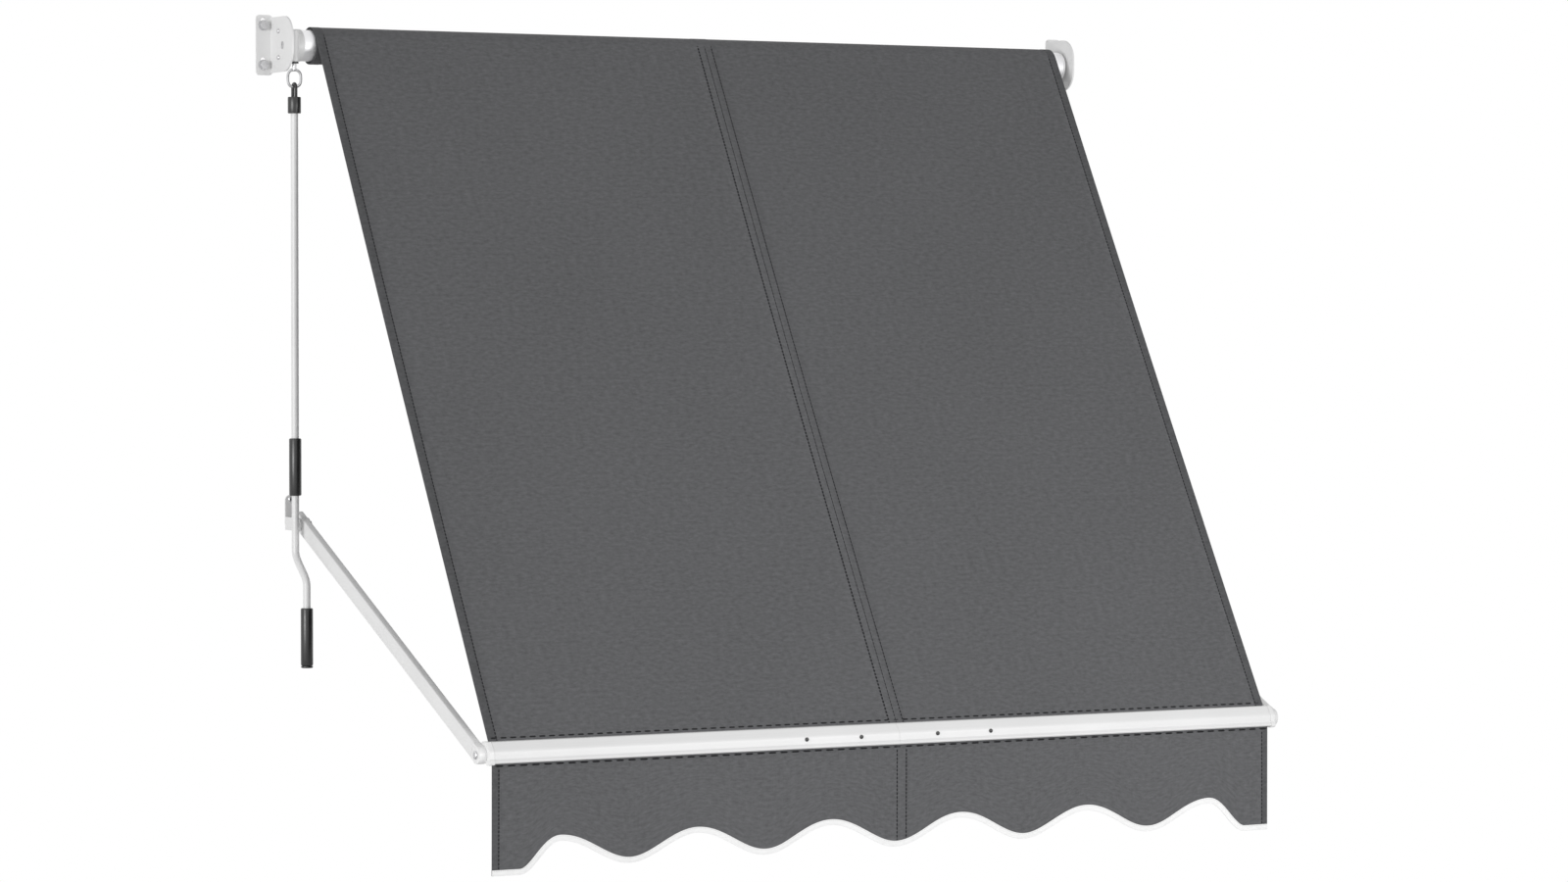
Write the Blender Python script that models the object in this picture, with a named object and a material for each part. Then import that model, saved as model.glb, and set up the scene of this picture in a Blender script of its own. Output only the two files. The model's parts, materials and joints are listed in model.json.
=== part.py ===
"""Drop-arm window awning: roller, canopy, two swinging arms, front bar with valance, gear and crank.

Frame: origin on the wall plane, at mid-width, at the height of the roller's axis.
+X to the right along the wall, +Y into the wall, +Z up. Metres.
"""
import math

import bmesh
import bpy
from mathutils import Vector
from mathutils.geometry import tessellate_polygon

# Fits
GAP = 0.0003
RUNNING_GAP = 0.0002
PAST = 0.001

# Canopy and valance
CANOPY_WIDTH = 1.381
CLOTH = 0.0010
HEM_RISE = 0.0003
HEM_SLOPE = 0.0005
CANOPY_HEM = 0.015
CANOPY_SEAM = 0.027
SEAM_OFFSET = 0.0065
VALANCE_DROP = 0.1395
SCALLOP_DEPTH = 0.0195
SCALLOP_PITCH = 0.231
SCALLOP_COUNT = 6
END_TAB_WIDTH = 0.0455
END_TAB_EXTRA = 0.0085
BINDING_WIDTH = 0.009
BINDING_CLOTH = 0.0006

# Roller
ROLLER_STANDOFF = 0.050
TUBE_RADIUS = 0.025
TUBE_WALL = 0.0015
TUBE_OVERHANG = 0.018
ROLL_TURNS_THICKNESS = 0.0027
PLUG_LENGTH = 0.025
SHAFT_RADIUS = 0.006
SHAFT_RECESS = 0.0008
IDLER_RIM = 0.0025

# Roller brackets, bent from sheet
SHEET = 0.003
BRACKET_HEIGHT = 0.096
BRACKET_RISE = 0.002
WALL_FLANGE = 0.025
SIDE_FLANGE_REACH = 0.090
SIDE_FLANGE_HEIGHT = 0.088
SIDE_FLANGE_CORNER = 0.035
FLANGE_CORNER = 0.006
BOLT_SPACING = 0.063
BOLT_INSET = 0.013
SLOT_WIDTH = 0.009
SLOT_LENGTH = 0.018
SLOT_RISE = 0.003
IDLER_SIDE_CLEARANCE = 0.0085
IDLER_SHOULDER = 0.002
IDLER_TIP = 0.004
IDLER_CLIP = 0.001

# Wall fasteners
BOLT_RADIUS = 0.004
BOLT_HEAD_ACROSS = 0.013
BOLT_HEAD = 0.0053
WASHER_RADIUS = 0.0085
WASHER = 0.0016
BOLT_LENGTH = 0.013
BOLT_POINT = 0.003
WALL_SCREW_RADIUS = 0.0025
WALL_SCREW_HEAD_RADIUS = 0.0045
WALL_SCREW_HEAD = 0.0024
WALL_SCREW_LENGTH = 0.011

# Gear
HOUSING_RADIUS = 0.026
HOUSING_WIDTH = 0.025
HOUSING_WALL = 0.003
CAVITY_CLEARANCE = 0.0012
WORM_OFFSET = 0.022
WORM_RADIUS = 0.0046
WORM_CORE = 0.0034
WORM_PITCH = 0.0042
WORM_LENGTH = 0.028
WORM_STARTS = 4
WHEEL_TEETH = 20
WHEEL_WIDTH = 0.010
TOOTH_DEPTH = 0.0022
BOSS_RADIUS = 0.0076
BOSS_BORE = 0.0050
BOSS_BOTTOM = 0.027
BOSS_TOP = 0.022
WORM_SIDE_CLEARANCE = 0.008
BUSH_FLANGE = 0.0027
BUSH_INSET = 0.0008
WORM_END_PLAY = 0.002
GEAR_SCREW_REACH = 0.015
GEAR_SCREW_SPREAD = 0.021
GEAR_SCREW_RADIUS = 0.0020
GEAR_LUG_RADIUS = 0.0055
GEAR_LUG_LENGTH = 0.010
GEAR_SCREW_LENGTH = 0.010

# Eye and crank
EYE_HALF_WIDTH = 0.01125
EYE_HALF_HEIGHT = 0.0135
EYE_WIRE = 0.00225
EYE_DROP = 0.0535
HOOK_WIRE = 0.0026
HOOK_BEND = 0.0065
HOOK_DISC_RADIUS = 0.0091
HOOK_DISC = 0.004
HOOK_LEG = 0.021
FERRULE_RADIUS = 0.0105
FERRULE_LENGTH = 0.026
FERRULE_LIP = 0.0045
FERRULE_STEP = 0.002
FERRULE_EDGE = 0.0012
ROD_RADIUS = 0.0059
ROD_STRAIGHT = 0.803
ROD_BEND_END = 0.856
ROD_BEND_LEAD = 0.012
ROD_OFFSET = 0.045
ROD_END = 0.9828
GRIP_RADIUS = 0.00975
GRIP_LENGTH = 0.091
GRIP_EDGE = 0.0018
UPPER_GRIP_TOP = 0.624
LOWER_GRIP_TOP = 0.8915
END_CAP = 0.003
END_CAP_RADIUS = 0.0095

# Arms
ARM_LENGTH = 0.730
ARM_HEIGHT = 0.026
ARM_THICKNESS = 0.012
ARM_WALL = 0.0015
ARM_REAR = 0.020
ARM_CORNER = 0.002
ARM_INNER_CORNER = 0.001
ARM_SIDE_CLEARANCE = 0.0085
ARM_PIVOT_STANDOFF = 0.053
ARM_PIVOT_DROP = 0.762
ARM_DROOP = math.radians(25.65)
KNUCKLE_RADIUS = 0.0135
KNUCKLE_TONGUE = 0.030
KNUCKLE_NECK = 0.002
KNUCKLE_STEP = 0.0004
TONGUE_ROOT = 0.0015
PIVOT_RADIUS = 0.004
PIVOT_HEAD_RADIUS = 0.0062
PIVOT_HEAD = 0.0026
PIN_SLOT = 0.0018
PIN_SLOT_DEPTH = 0.0013
PIVOT_NUT = 0.004

# Arm wall brackets
BASE_HEIGHT = 0.054
BASE_RISE = 0.0186
LUG = 0.0026
LUG_HEIGHT = 0.021
LUG_REACH = 0.0635
BASE_INSIDE = 0.0030
BASE_CORNER = 0.009
ARM_SCREW_SPACING = 0.040

# Front bar, seen in section: forward and up from the pins on which the arms carry it
BAR_WALL = 0.0018
BAR_BACK = 0.009
BAR_BOTTOM = 0.0123
BAR_FRONT = 0.0218
BAR_TOP = 0.0192
BAR_LIP = 0.0250
BAR_LIP_CHAMFER = 0.0025
BAR_LIP_ROUND = 0.0018
BAR_LIP_EDGE = 0.0034
BAR_LIP_TOP = 0.0070
BAR_SHOULDER = 0.010
BAR_SHOULDER_HEIGHT = 0.002
BAR_LEAN = math.radians(40)
BAR_MOUTH_DEPTH = 0.0042
BAR_MOUTH_LAND = 0.0022
BAR_BACK_CHAMFER = 0.0045
CHAMBER_CHAMFER = 0.0060
KEDER_GROOVE = 0.0032
KEDER_MOUTH = 0.0011
CANOPY_GROOVE = (0.0033, 0.0127)
VALANCE_GROOVE = (0.0120, -0.0078)
VALANCE_GROOVE_RADIUS = 0.0028
BAR_CAP = 0.008
BAR_CAP_SKIRT = 0.0026
BAR_CAP_PLUG = 0.014
BAR_CAP_PROUD = 0.0003
BAR_CAP_HOLE = 0.0064
SPLICE_HALF = 0.190
SPLICE_SCREWS = (SPLICE_HALF * 0.358, SPLICE_HALF * 0.863)
SPLICE_SCREW_RADIUS = 0.0020
SPLICE_SCREW_HEAD_RADIUS = 0.0033
SPLICE_SCREW_HEAD = 0.0012
SPLICE_SCREW_LENGTH = 0.008

# Places worked out from the sizes above
HALF_CANOPY = CANOPY_WIDTH / 2
TUBE_END = HALF_CANOPY + TUBE_OVERHANG
ROLL_RADIUS = TUBE_RADIUS + ROLL_TURNS_THICKNESS + GAP
HOUSING_RIGHT = -(TUBE_END + GAP)
HOUSING_LEFT = HOUSING_RIGHT - HOUSING_WIDTH
LEFT_FLANGE = HOUSING_LEFT - GAP
RIGHT_FLANGE = TUBE_END + IDLER_SIDE_CLEARANCE
WORM_X = LEFT_FLANGE + WORM_SIDE_CLEARANCE
WORM_Y = -(ROLLER_STANDOFF + WORM_OFFSET)
WHEEL_RADIUS = WORM_OFFSET - WORM_RADIUS - GAP
CAVITY_RADIUS = WHEEL_RADIUS + CAVITY_CLEARANCE
EYE_BOTTOM = -(EYE_DROP + EYE_HALF_HEIGHT)
CRANK_AXIS = Vector((WORM_X, WORM_Y, EYE_BOTTOM))
ARM_INNER = HALF_CANOPY + ARM_SIDE_CLEARANCE
ARM_X = ARM_INNER + ARM_THICKNESS / 2
ARM_OUTER = ARM_INNER + ARM_THICKNESS
ARM_AXIS_Y = -ARM_PIVOT_STANDOFF
ARM_AXIS_Z = -ARM_PIVOT_DROP
BAR_AXIS = Vector((
    0,
    ARM_AXIS_Y - ARM_LENGTH * math.cos(ARM_DROOP),
    ARM_AXIS_Z - ARM_LENGTH * math.sin(ARM_DROOP),
))
BAR_END = ARM_INNER - GAP
BAR_HALF = BAR_END - BAR_CAP - GAP
KNUCKLE_START = ARM_LENGTH - KNUCKLE_RADIUS - KNUCKLE_NECK

WHITE = (0.80, 0.80, 0.80)
SLATE = (0.10, 0.10, 0.105)
STEEL = (0.55, 0.55, 0.56)
BLACK = (0.012, 0.012, 0.012)
DARK_COAT = (0.02, 0.02, 0.02)
BINDING_WHITE = (0.85, 0.85, 0.85)


def make_material(name, color, roughness, metallic):
    """One Principled BSDF material."""
    material = bpy.data.materials.new(name)
    material.use_nodes = True
    shader = material.node_tree.nodes["Principled BSDF"]
    shader.inputs["Base Color"].default_value = (*color, 1)
    shader.inputs["Roughness"].default_value = roughness
    shader.inputs["Metallic"].default_value = metallic
    material.diffuse_color = (*color, 1)
    return material


def empty(name, location, rotation=(0, 0, 0), parent=None):
    """A joint's axis or a frame that pieces are placed in."""
    holder = bpy.data.objects.new(name, None)
    bpy.context.scene.collection.objects.link(holder)
    holder.location = location
    holder.rotation_euler = rotation
    holder.parent = parent
    return holder


def finish_mesh(name, bm, material, parent=None):
    """Turns a bmesh into an object with its faces pointing out."""
    bmesh.ops.recalc_face_normals(bm, faces=bm.faces)
    mesh = bpy.data.meshes.new(name)
    bm.to_mesh(mesh)
    bm.free()
    mesh.shade_smooth()
    mesh.set_sharp_from_angle(angle=math.radians(35))
    item = bpy.data.objects.new(name, mesh)
    bpy.context.scene.collection.objects.link(item)
    if material:
        mesh.materials.append(material)
    item.parent = parent
    return item


def placed(along, a, b, t):
    """A section's point (a, b) at place t along one axis."""
    if along == "X":
        return Vector((t, a, b))
    if along == "Y":
        return Vector((a, t, b))
    return Vector((a, b, t))


def prism(name, outlines, along, start, end, material=None, parent=None):
    """A section, its outer outline first and then its holes, drawn out along an axis."""
    bm = bmesh.new()
    flat = [Vector((a, b, 0)) for outline in outlines for a, b in outline]
    rings = [[bm.verts.new(placed(along, p.x, p.y, t)) for p in flat] for t in (start, end)]
    for triangle in tessellate_polygon([[Vector((a, b, 0)) for a, b in o] for o in outlines]):
        bm.faces.new([rings[0][i] for i in triangle])
        bm.faces.new([rings[1][i] for i in reversed(triangle)])
    first = 0
    for outline in outlines:
        count = len(outline)
        for i in range(count):
            j = (i + 1) % count
            bm.faces.new((
                rings[0][first + i],
                rings[0][first + j],
                rings[1][first + j],
                rings[1][first + i],
            ))
        first += count
    return finish_mesh(name, bm, material, parent)


def turned(name, profile, along, center=(0, 0, 0), segments=20, material=None, parent=None):
    """A closed profile of (place, radius) turned round an axis through center."""
    bm = bmesh.new()
    center = Vector(center)
    rings = []
    for place, radius in profile:
        if radius == 0:
            rings.append([bm.verts.new(center + placed(along, 0, 0, place))])
            continue
        turn = [2 * math.pi * i / segments for i in range(segments)]
        rings.append([
            bm.verts.new(center + placed(along, radius * math.cos(a), radius * math.sin(a), place))
            for a in turn
        ])
    closed = profile[0][1] > 0
    pairs = list(zip(rings, rings[1:]))
    if closed:
        pairs.append((rings[-1], rings[0]))
    for one, two in pairs:
        for i in range(segments):
            j = (i + 1) % segments
            corners = [one[i % len(one)], one[j % len(one)], two[j % len(two)], two[i % len(two)]]
            corners = list(dict.fromkeys(corners))
            if len(corners) > 2:
                bm.faces.new(corners)
    return finish_mesh(name, bm, material, parent)


def swept(name, path, normal, radius, sides=10, closed=False, material=None, parent=None):
    """A round bar along a path that lies in the plane with this normal."""
    bm = bmesh.new()
    normal = Vector(normal)
    count = len(path)
    rings = []
    for i, point in enumerate(path):
        before = path[(i - 1) % count] if closed or i else point
        after = path[(i + 1) % count] if closed or i < count - 1 else point
        side = normal.cross((after - before).normalized())
        rings.append([
            bm.verts.new(point + radius * (math.cos(a) * side + math.sin(a) * normal))
            for a in (2 * math.pi * k / sides for k in range(sides))
        ])
    pairs = list(zip(rings, rings[1:]))
    if closed:
        pairs.append((rings[-1], rings[0]))
    for one, two in pairs:
        for k in range(sides):
            m = (k + 1) % sides
            bm.faces.new((one[k], one[m], two[m], two[k]))
    if not closed:
        bm.faces.new(rings[0])
        bm.faces.new(rings[-1])
    return finish_mesh(name, bm, material, parent)


def combine(item, other, operation):
    """A Boolean with a guide object that isn't part of the model."""
    other.hide_render = True
    other.display_type = "WIRE"
    other.name = f"guide_{item.name}_{len(item.modifiers)}"
    modifier = item.modifiers.new(operation.lower(), "BOOLEAN")
    modifier.operation = operation
    modifier.solver = "EXACT"
    modifier.object = other


def drill(item, along, center, radius, start, end, segments=16, parent=None):
    """A round hole through item, from start to end along an axis."""
    profile = [(start, 0), (start, radius), (end, radius), (end, 0)]
    cutter = turned("guide", profile, along, center, segments, None, parent)
    combine(item, cutter, "DIFFERENCE")


def circle(center, radius, segments=24):
    """Points of a circle in a section."""
    return [
        (
            center[0] + radius * math.cos(2 * math.pi * i / segments),
            center[1] + radius * math.sin(2 * math.pi * i / segments),
        )
        for i in range(segments)
    ]


def arc(center, radius, start, end, steps):
    """Points of an arc in a section, angles in degrees."""
    return [
        (
            center[0] + radius * math.cos(math.radians(start + (end - start) * i / steps)),
            center[1] + radius * math.sin(math.radians(start + (end - start) * i / steps)),
        )
        for i in range(steps + 1)
    ]


def rounded_box(low, high, radius, steps=4):
    """A rectangle's outline with round corners."""
    (x0, y0), (x1, y1) = low, high
    return (
        arc((x1 - radius, y1 - radius), radius, 0, 90, steps)
        + arc((x0 + radius, y1 - radius), radius, 90, 180, steps)
        + arc((x0 + radius, y0 + radius), radius, 180, 270, steps)
        + arc((x1 - radius, y0 + radius), radius, 270, 360, steps)
    )


def slot_outline(center, width, length, steps=6):
    """An upright slot with round ends."""
    reach = (length - width) / 2
    x, z = center
    return (
        arc((x, z + reach), width / 2, 0, 180, steps)
        + arc((x, z - reach), width / 2, 180, 360, steps)
    )


def roller_bracket(side, flange_inner, material):
    """An L-shaped bracket: a wall flange with slots and a side flange with a round front."""
    name = "left" if side < 0 else "right"
    inner = side * flange_inner
    outer_edge = inner + side * WALL_FLANGE
    low_x, high_x = sorted((inner, outer_edge + side * SHEET))
    half = BRACKET_HEIGHT / 2
    bolt_x = inner + side * (SHEET + BOLT_INSET)
    wall = [rounded_box((low_x, BRACKET_RISE - half), (high_x, BRACKET_RISE + half), FLANGE_CORNER)]
    for sign in (-1, 1):
        slot_z = BRACKET_RISE + sign * BOLT_SPACING / 2 + SLOT_RISE
        wall.append(slot_outline((bolt_x, slot_z), SLOT_WIDTH, SLOT_LENGTH))
    bracket = prism(f"{name}_roller_bracket", wall, "Y", -SHEET, 0, material)
    front = SIDE_FLANGE_CORNER - SIDE_FLANGE_REACH
    corner = SIDE_FLANGE_HEIGHT / 2 - SIDE_FLANGE_CORNER
    outline = (
        [(-SHEET / 2, BRACKET_RISE + SIDE_FLANGE_HEIGHT / 2)]
        + arc((front, BRACKET_RISE + corner), SIDE_FLANGE_CORNER, 90, 180, 7)
        + arc((front, BRACKET_RISE - corner), SIDE_FLANGE_CORNER, 180, 270, 7)
        + [(-SHEET / 2, BRACKET_RISE - SIDE_FLANGE_HEIGHT / 2)]
    )
    hole_radius = SHAFT_RADIUS + GAP
    holes = [circle((-ROLLER_STANDOFF, 0), hole_radius, 16)]
    if side < 0:
        for sign in (-1, 1):
            place = (-ROLLER_STANDOFF + GEAR_SCREW_REACH, BRACKET_RISE + sign * GEAR_SCREW_SPREAD)
            holes.append(circle(place, GEAR_SCREW_RADIUS + GAP, 12))
    web = prism("guide", [outline] + holes, "X", inner, inner + side * SHEET)
    combine(bracket, web, "UNION")
    return bolt_x


def hex_bolt(name, x, z, material):
    """A hexagon wall bolt with its washer, driven into the wall."""
    washer_front = -(SHEET + GAP + WASHER)
    head = prism(
        name,
        [circle((x, z), BOLT_HEAD_ACROSS / math.sqrt(3), 6)],
        "Y",
        washer_front - BOLT_HEAD,
        washer_front + WASHER / 2,
        material,
    )
    profile = [
        (washer_front, 0),
        (washer_front, WASHER_RADIUS),
        (washer_front + WASHER, WASHER_RADIUS),
        (washer_front + WASHER, BOLT_RADIUS),
        (BOLT_LENGTH - BOLT_POINT, BOLT_RADIUS),
        (BOLT_LENGTH, 0),
    ]
    combine(head, turned("guide", profile, "Y", (x, 0, z), 16), "UNION")


def screw(name, along, center, seat, sign, sizes, material, parent=None, segments=12):
    """A pan-head screw: its head on a seat, its shank on the side that sign points to."""
    radius, head_radius, head, length = sizes
    top = seat - sign * (GAP + head)
    profile = [
        (top, 0),
        (top, head_radius * 0.7),
        (top + sign * head * 0.5, head_radius),
        (seat - sign * GAP, head_radius),
        (seat - sign * GAP, radius),
        (seat + sign * (length - radius), radius),
        (seat + sign * length, 0),
    ]
    return turned(name, profile, along, center, segments, material, parent)


def make_roller_brackets(white, steel):
    for side, flange in ((-1, -LEFT_FLANGE), (1, RIGHT_FLANGE)):
        name = "left" if side < 0 else "right"
        bolt_x = roller_bracket(side, flange, white)
        for sign, level in ((1, "upper"), (-1, "lower")):
            bolt_z = BRACKET_RISE + sign * BOLT_SPACING / 2
            hex_bolt(f"{name}_{level}_wall_bolt", bolt_x, bolt_z, steel)


def make_gear_housing(white, steel, black):
    """A cup round the worm wheel, closed by the bracket, with the upright boss of the worm."""
    axis = (0, -ROLLER_STANDOFF, 0)
    housing = turned(
        "gear_housing",
        [
            (HOUSING_LEFT, CAVITY_RADIUS),
            (HOUSING_LEFT, HOUSING_RADIUS),
            (HOUSING_RIGHT, HOUSING_RADIUS),
            (HOUSING_RIGHT, SHAFT_RADIUS + GAP),
            (HOUSING_RIGHT - HOUSING_WALL, SHAFT_RADIUS + GAP),
            (HOUSING_RIGHT - HOUSING_WALL, CAVITY_RADIUS),
        ],
        "X",
        axis,
        32,
        white,
    )
    boss_profile = [
        (-BOSS_BOTTOM, 0),
        (-BOSS_BOTTOM, BOSS_RADIUS),
        (BOSS_TOP, BOSS_RADIUS),
        (BOSS_TOP, 0),
    ]
    boss = turned("guide", boss_profile, "Z", (WORM_X, WORM_Y, 0), 24)
    combine(housing, boss, "UNION")
    lug_end = HOUSING_LEFT + GEAR_LUG_LENGTH
    screw_sizes = (GEAR_SCREW_RADIUS, GEAR_SCREW_RADIUS * 1.9, GEAR_SCREW_RADIUS, GEAR_SCREW_LENGTH)
    screw_hole = GEAR_SCREW_RADIUS + GAP
    for sign, level in ((1, "upper"), (-1, "lower")):
        place = (0, -ROLLER_STANDOFF + GEAR_SCREW_REACH, BRACKET_RISE + sign * GEAR_SCREW_SPREAD)
        lug_profile = [
            (HOUSING_LEFT, 0),
            (HOUSING_LEFT, GEAR_LUG_RADIUS),
            (lug_end, GEAR_LUG_RADIUS),
            (lug_end, 0),
        ]
        combine(housing, turned("guide", lug_profile, "X", place, 16), "UNION")
        screw(f"{level}_gear_screw", "X", place, LEFT_FLANGE - SHEET, 1, screw_sizes, steel)
        drill(housing, "X", place, screw_hole, HOUSING_LEFT - PAST, lug_end - 2 * PAST, 12)
    cavity_clear = [
        (HOUSING_LEFT - PAST, 0),
        (HOUSING_LEFT - PAST, CAVITY_RADIUS),
        (HOUSING_RIGHT - HOUSING_WALL, CAVITY_RADIUS),
        (HOUSING_RIGHT - HOUSING_WALL, 0),
    ]
    combine(housing, turned("guide", cavity_clear, "X", axis, 32), "DIFFERENCE")
    bore_end = WORM_LENGTH / 2 + WORM_END_PLAY
    drill(housing, "Z", (WORM_X, WORM_Y, 0), BOSS_BORE, -BOSS_BOTTOM - PAST, bore_end, 24)
    flange_top = -BOSS_BOTTOM - GAP
    bush_profile = [
        (flange_top - BUSH_FLANGE, WORM_CORE),
        (flange_top - BUSH_FLANGE, BOSS_RADIUS - BUSH_INSET),
        (flange_top, BOSS_RADIUS - BUSH_INSET),
        (flange_top, BOSS_BORE - GAP),
        (-bore_end, BOSS_BORE - GAP),
        (-bore_end, WORM_CORE),
    ]
    turned("worm_bush", bush_profile, "Z", (WORM_X, WORM_Y, 0), 24, black)


def make_worm_wheel(steel, parent):
    """A spur-cut wheel on the drive shaft."""
    outline = []
    for tooth in range(WHEEL_TEETH):
        for share, radius in ((0.00, 0), (0.30, 0), (0.45, 1), (0.85, 1)):
            angle = 2 * math.pi * (tooth + share) / WHEEL_TEETH
            r = WHEEL_RADIUS if radius == 0 else WHEEL_RADIUS - TOOTH_DEPTH
            outline.append((r * math.cos(angle), r * math.sin(angle)))
    bore = circle((0, 0), SHAFT_RADIUS + GAP, 24)
    left = WORM_X - WHEEL_WIDTH / 2
    prism("worm_wheel", [outline, bore], "X", left, left + WHEEL_WIDTH, steel, parent)


def make_worm_and_eye(steel, parent):
    """The worm, its shaft and the oval eye that the crank hangs in, as one piece."""
    shaft_radius = WORM_CORE - RUNNING_GAP
    eye_top = -(EYE_DROP - EYE_HALF_HEIGHT)
    sides = 12
    steps = round(WORM_LENGTH / (WORM_PITCH / 3))
    bm = bmesh.new()
    rings = []
    places = [(eye_top, shaft_radius), (-WORM_LENGTH / 2, shaft_radius)]
    for i in range(steps + 1):
        places.append((-WORM_LENGTH / 2 + WORM_LENGTH * i / steps, None))
    for place, radius in places:
        ring = []
        for k in range(sides):
            angle = 2 * math.pi * k / sides
            r = radius
            if r is None:
                phase = (place / (WORM_PITCH * WORM_STARTS) - k / sides) * WORM_STARTS
                r = WORM_CORE + (WORM_RADIUS - WORM_CORE) * (0.5 + 0.5 * math.cos(2 * math.pi * phase))
            ring.append(bm.verts.new((r * math.cos(angle), r * math.sin(angle), place)))
        rings.append(ring)
    for one, two in zip(rings, rings[1:]):
        for k in range(sides):
            m = (k + 1) % sides
            bm.faces.new((one[k], one[m], two[m], two[k]))
    bm.faces.new(rings[0])
    bm.faces.new(rings[-1])
    bmesh.ops.triangulate(bm, faces=bm.faces)
    worm = finish_mesh("worm_with_eye", bm, steel, parent)
    path = []
    count = 24
    flatness = 2.6
    for i in range(count):
        angle = 2 * math.pi * i / count
        c, s = math.cos(angle), math.sin(angle)
        x = EYE_HALF_WIDTH * math.copysign(abs(c) ** (2 / flatness), c)
        z = EYE_HALF_HEIGHT * math.copysign(abs(s) ** (2 / flatness), s)
        path.append(Vector((x, 0, z - EYE_DROP)))
    combine(worm, swept("guide", path, (0, 1, 0), EYE_WIRE, 8, True, None, parent), "UNION")


def make_roller(white, steel, cloth, parent):
    """The tube, its two plugs and the wound turns, all turning together."""
    bore = TUBE_RADIUS - TUBE_WALL
    turned(
        "roller_tube",
        [(-TUBE_END, bore), (-TUBE_END, TUBE_RADIUS), (TUBE_END, TUBE_RADIUS), (TUBE_END, bore)],
        "X", (0, 0, 0), 32, steel, parent,
    )
    turned(
        "canopy_roll",
        [
            (-HALF_CANOPY, TUBE_RADIUS + GAP),
            (-HALF_CANOPY, ROLL_RADIUS),
            (HALF_CANOPY, ROLL_RADIUS),
            (HALF_CANOPY, TUBE_RADIUS + GAP),
        ],
        "X", (0, 0, 0), 32, cloth, parent,
    )
    plug = bore - GAP
    shaft_end = LEFT_FLANGE - SHEET + SHAFT_RECESS
    turned(
        "drive_plug",
        [
            (shaft_end, 0),
            (shaft_end, SHAFT_RADIUS),
            (-TUBE_END, SHAFT_RADIUS),
            (-TUBE_END, plug),
            (-TUBE_END + PLUG_LENGTH, plug),
            (-TUBE_END + PLUG_LENGTH, 0),
        ],
        "X", (0, 0, 0), 32, steel, parent,
    )
    rim = TUBE_END + GAP
    turned(
        "idler_plug",
        [
            (TUBE_END - PLUG_LENGTH, SHAFT_RADIUS + GAP),
            (TUBE_END - PLUG_LENGTH, plug),
            (rim, plug),
            (rim, TUBE_RADIUS),
            (rim + IDLER_RIM, TUBE_RADIUS),
            (rim + IDLER_RIM, SHAFT_RADIUS + GAP),
        ],
        "X", (0, 0, 0), 32, white, parent,
    )
    make_worm_wheel(steel, parent)


def make_idler_pin(steel):
    """The fixed pin that the roller's right end turns on, with its retaining clip."""
    axis = (0, -ROLLER_STANDOFF, 0)
    outside = RIGHT_FLANGE + SHEET
    tip = TUBE_END - PLUG_LENGTH * 0.8
    shoulder = RIGHT_FLANGE - GAP
    groove_start = outside + GAP
    turned(
        "idler_pin",
        [
            (tip, 0),
            (tip, SHAFT_RADIUS),
            (shoulder - IDLER_SHOULDER, SHAFT_RADIUS),
            (shoulder - IDLER_SHOULDER, SHAFT_RADIUS * 1.5),
            (shoulder, SHAFT_RADIUS * 1.5),
            (shoulder, SHAFT_RADIUS),
            (outside + IDLER_TIP, SHAFT_RADIUS),
            (outside + IDLER_TIP, 0),
        ],
        "X", axis, 16, steel,
    )
    turned(
        "idler_clip",
        [
            (groove_start, SHAFT_RADIUS + GAP),
            (groove_start, SHAFT_RADIUS * 1.6),
            (groove_start + IDLER_CLIP, SHAFT_RADIUS * 1.6),
            (groove_start + IDLER_CLIP, SHAFT_RADIUS + GAP),
        ],
        "X", axis, 16, steel,
    )


def tangent_point(groove):
    """Where the canopy's middle plane leaves the roll, its slope, and its length down to the groove."""
    reach = ROLL_RADIUS + GAP + CLOTH / 2 + HEM_RISE
    forward = -groove[0] - ROLLER_STANDOFF
    drop = -groove[1]
    distance = math.hypot(forward, drop)
    angle = math.atan2(drop, forward) + math.asin(reach / distance)
    normal = Vector((0, -math.sin(angle), math.cos(angle)))
    start = Vector((0, -ROLLER_STANDOFF, 0)) + reach * normal
    return start, angle, math.sqrt(distance ** 2 - reach ** 2)


def banded_section(half, hem, seam, offset, thickness):
    """The section of a sheet that is thicker at its side hems and along its centre seam."""
    thin = thickness / 2
    thick = thin + HEM_RISE
    upper = [
        (half, thick),
        (half - hem, thick),
        (half - hem - HEM_SLOPE, thin),
        (offset + seam / 2 + HEM_SLOPE, thin),
        (offset + seam / 2, thick),
        (offset - seam / 2, thick),
        (offset - seam / 2 - HEM_SLOPE, thin),
        (-half + hem + HEM_SLOPE, thin),
        (-half + hem, thick),
        (-half, thick),
    ]
    return upper + [(x, -n) for x, n in reversed(upper)]


def make_canopy(cloth):
    groove = (BAR_AXIS.y - CANOPY_GROOVE[0], BAR_AXIS.z + CANOPY_GROOVE[1])
    start, angle, length = tangent_point(groove)
    holder = empty("canopy_top_edge", start, (angle, 0, 0))
    section = banded_section(HALF_CANOPY, CANOPY_HEM, CANOPY_SEAM, SEAM_OFFSET, CLOTH)
    keder = KEDER_GROOVE - GAP
    prism("canopy", [section], "Y", -(length - keder - GAP), 0, cloth, holder)
    return angle


def scallop_height(x):
    """Height of the valance's lower edge over the bottom of its end tabs."""
    last_crest = SCALLOP_PITCH * (SCALLOP_COUNT - 1) / 2
    tab_start = HALF_CANOPY - END_TAB_WIDTH
    reach = abs(x)
    if reach >= tab_start:
        return 0.0
    if reach > last_crest:
        share = (reach - last_crest) / (tab_start - last_crest)
        return (END_TAB_EXTRA + 2 * SCALLOP_DEPTH) * 0.5 * (1 + math.cos(math.pi * share))
    return END_TAB_EXTRA + SCALLOP_DEPTH * (1 - math.cos(2 * math.pi * x / SCALLOP_PITCH))


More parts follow.
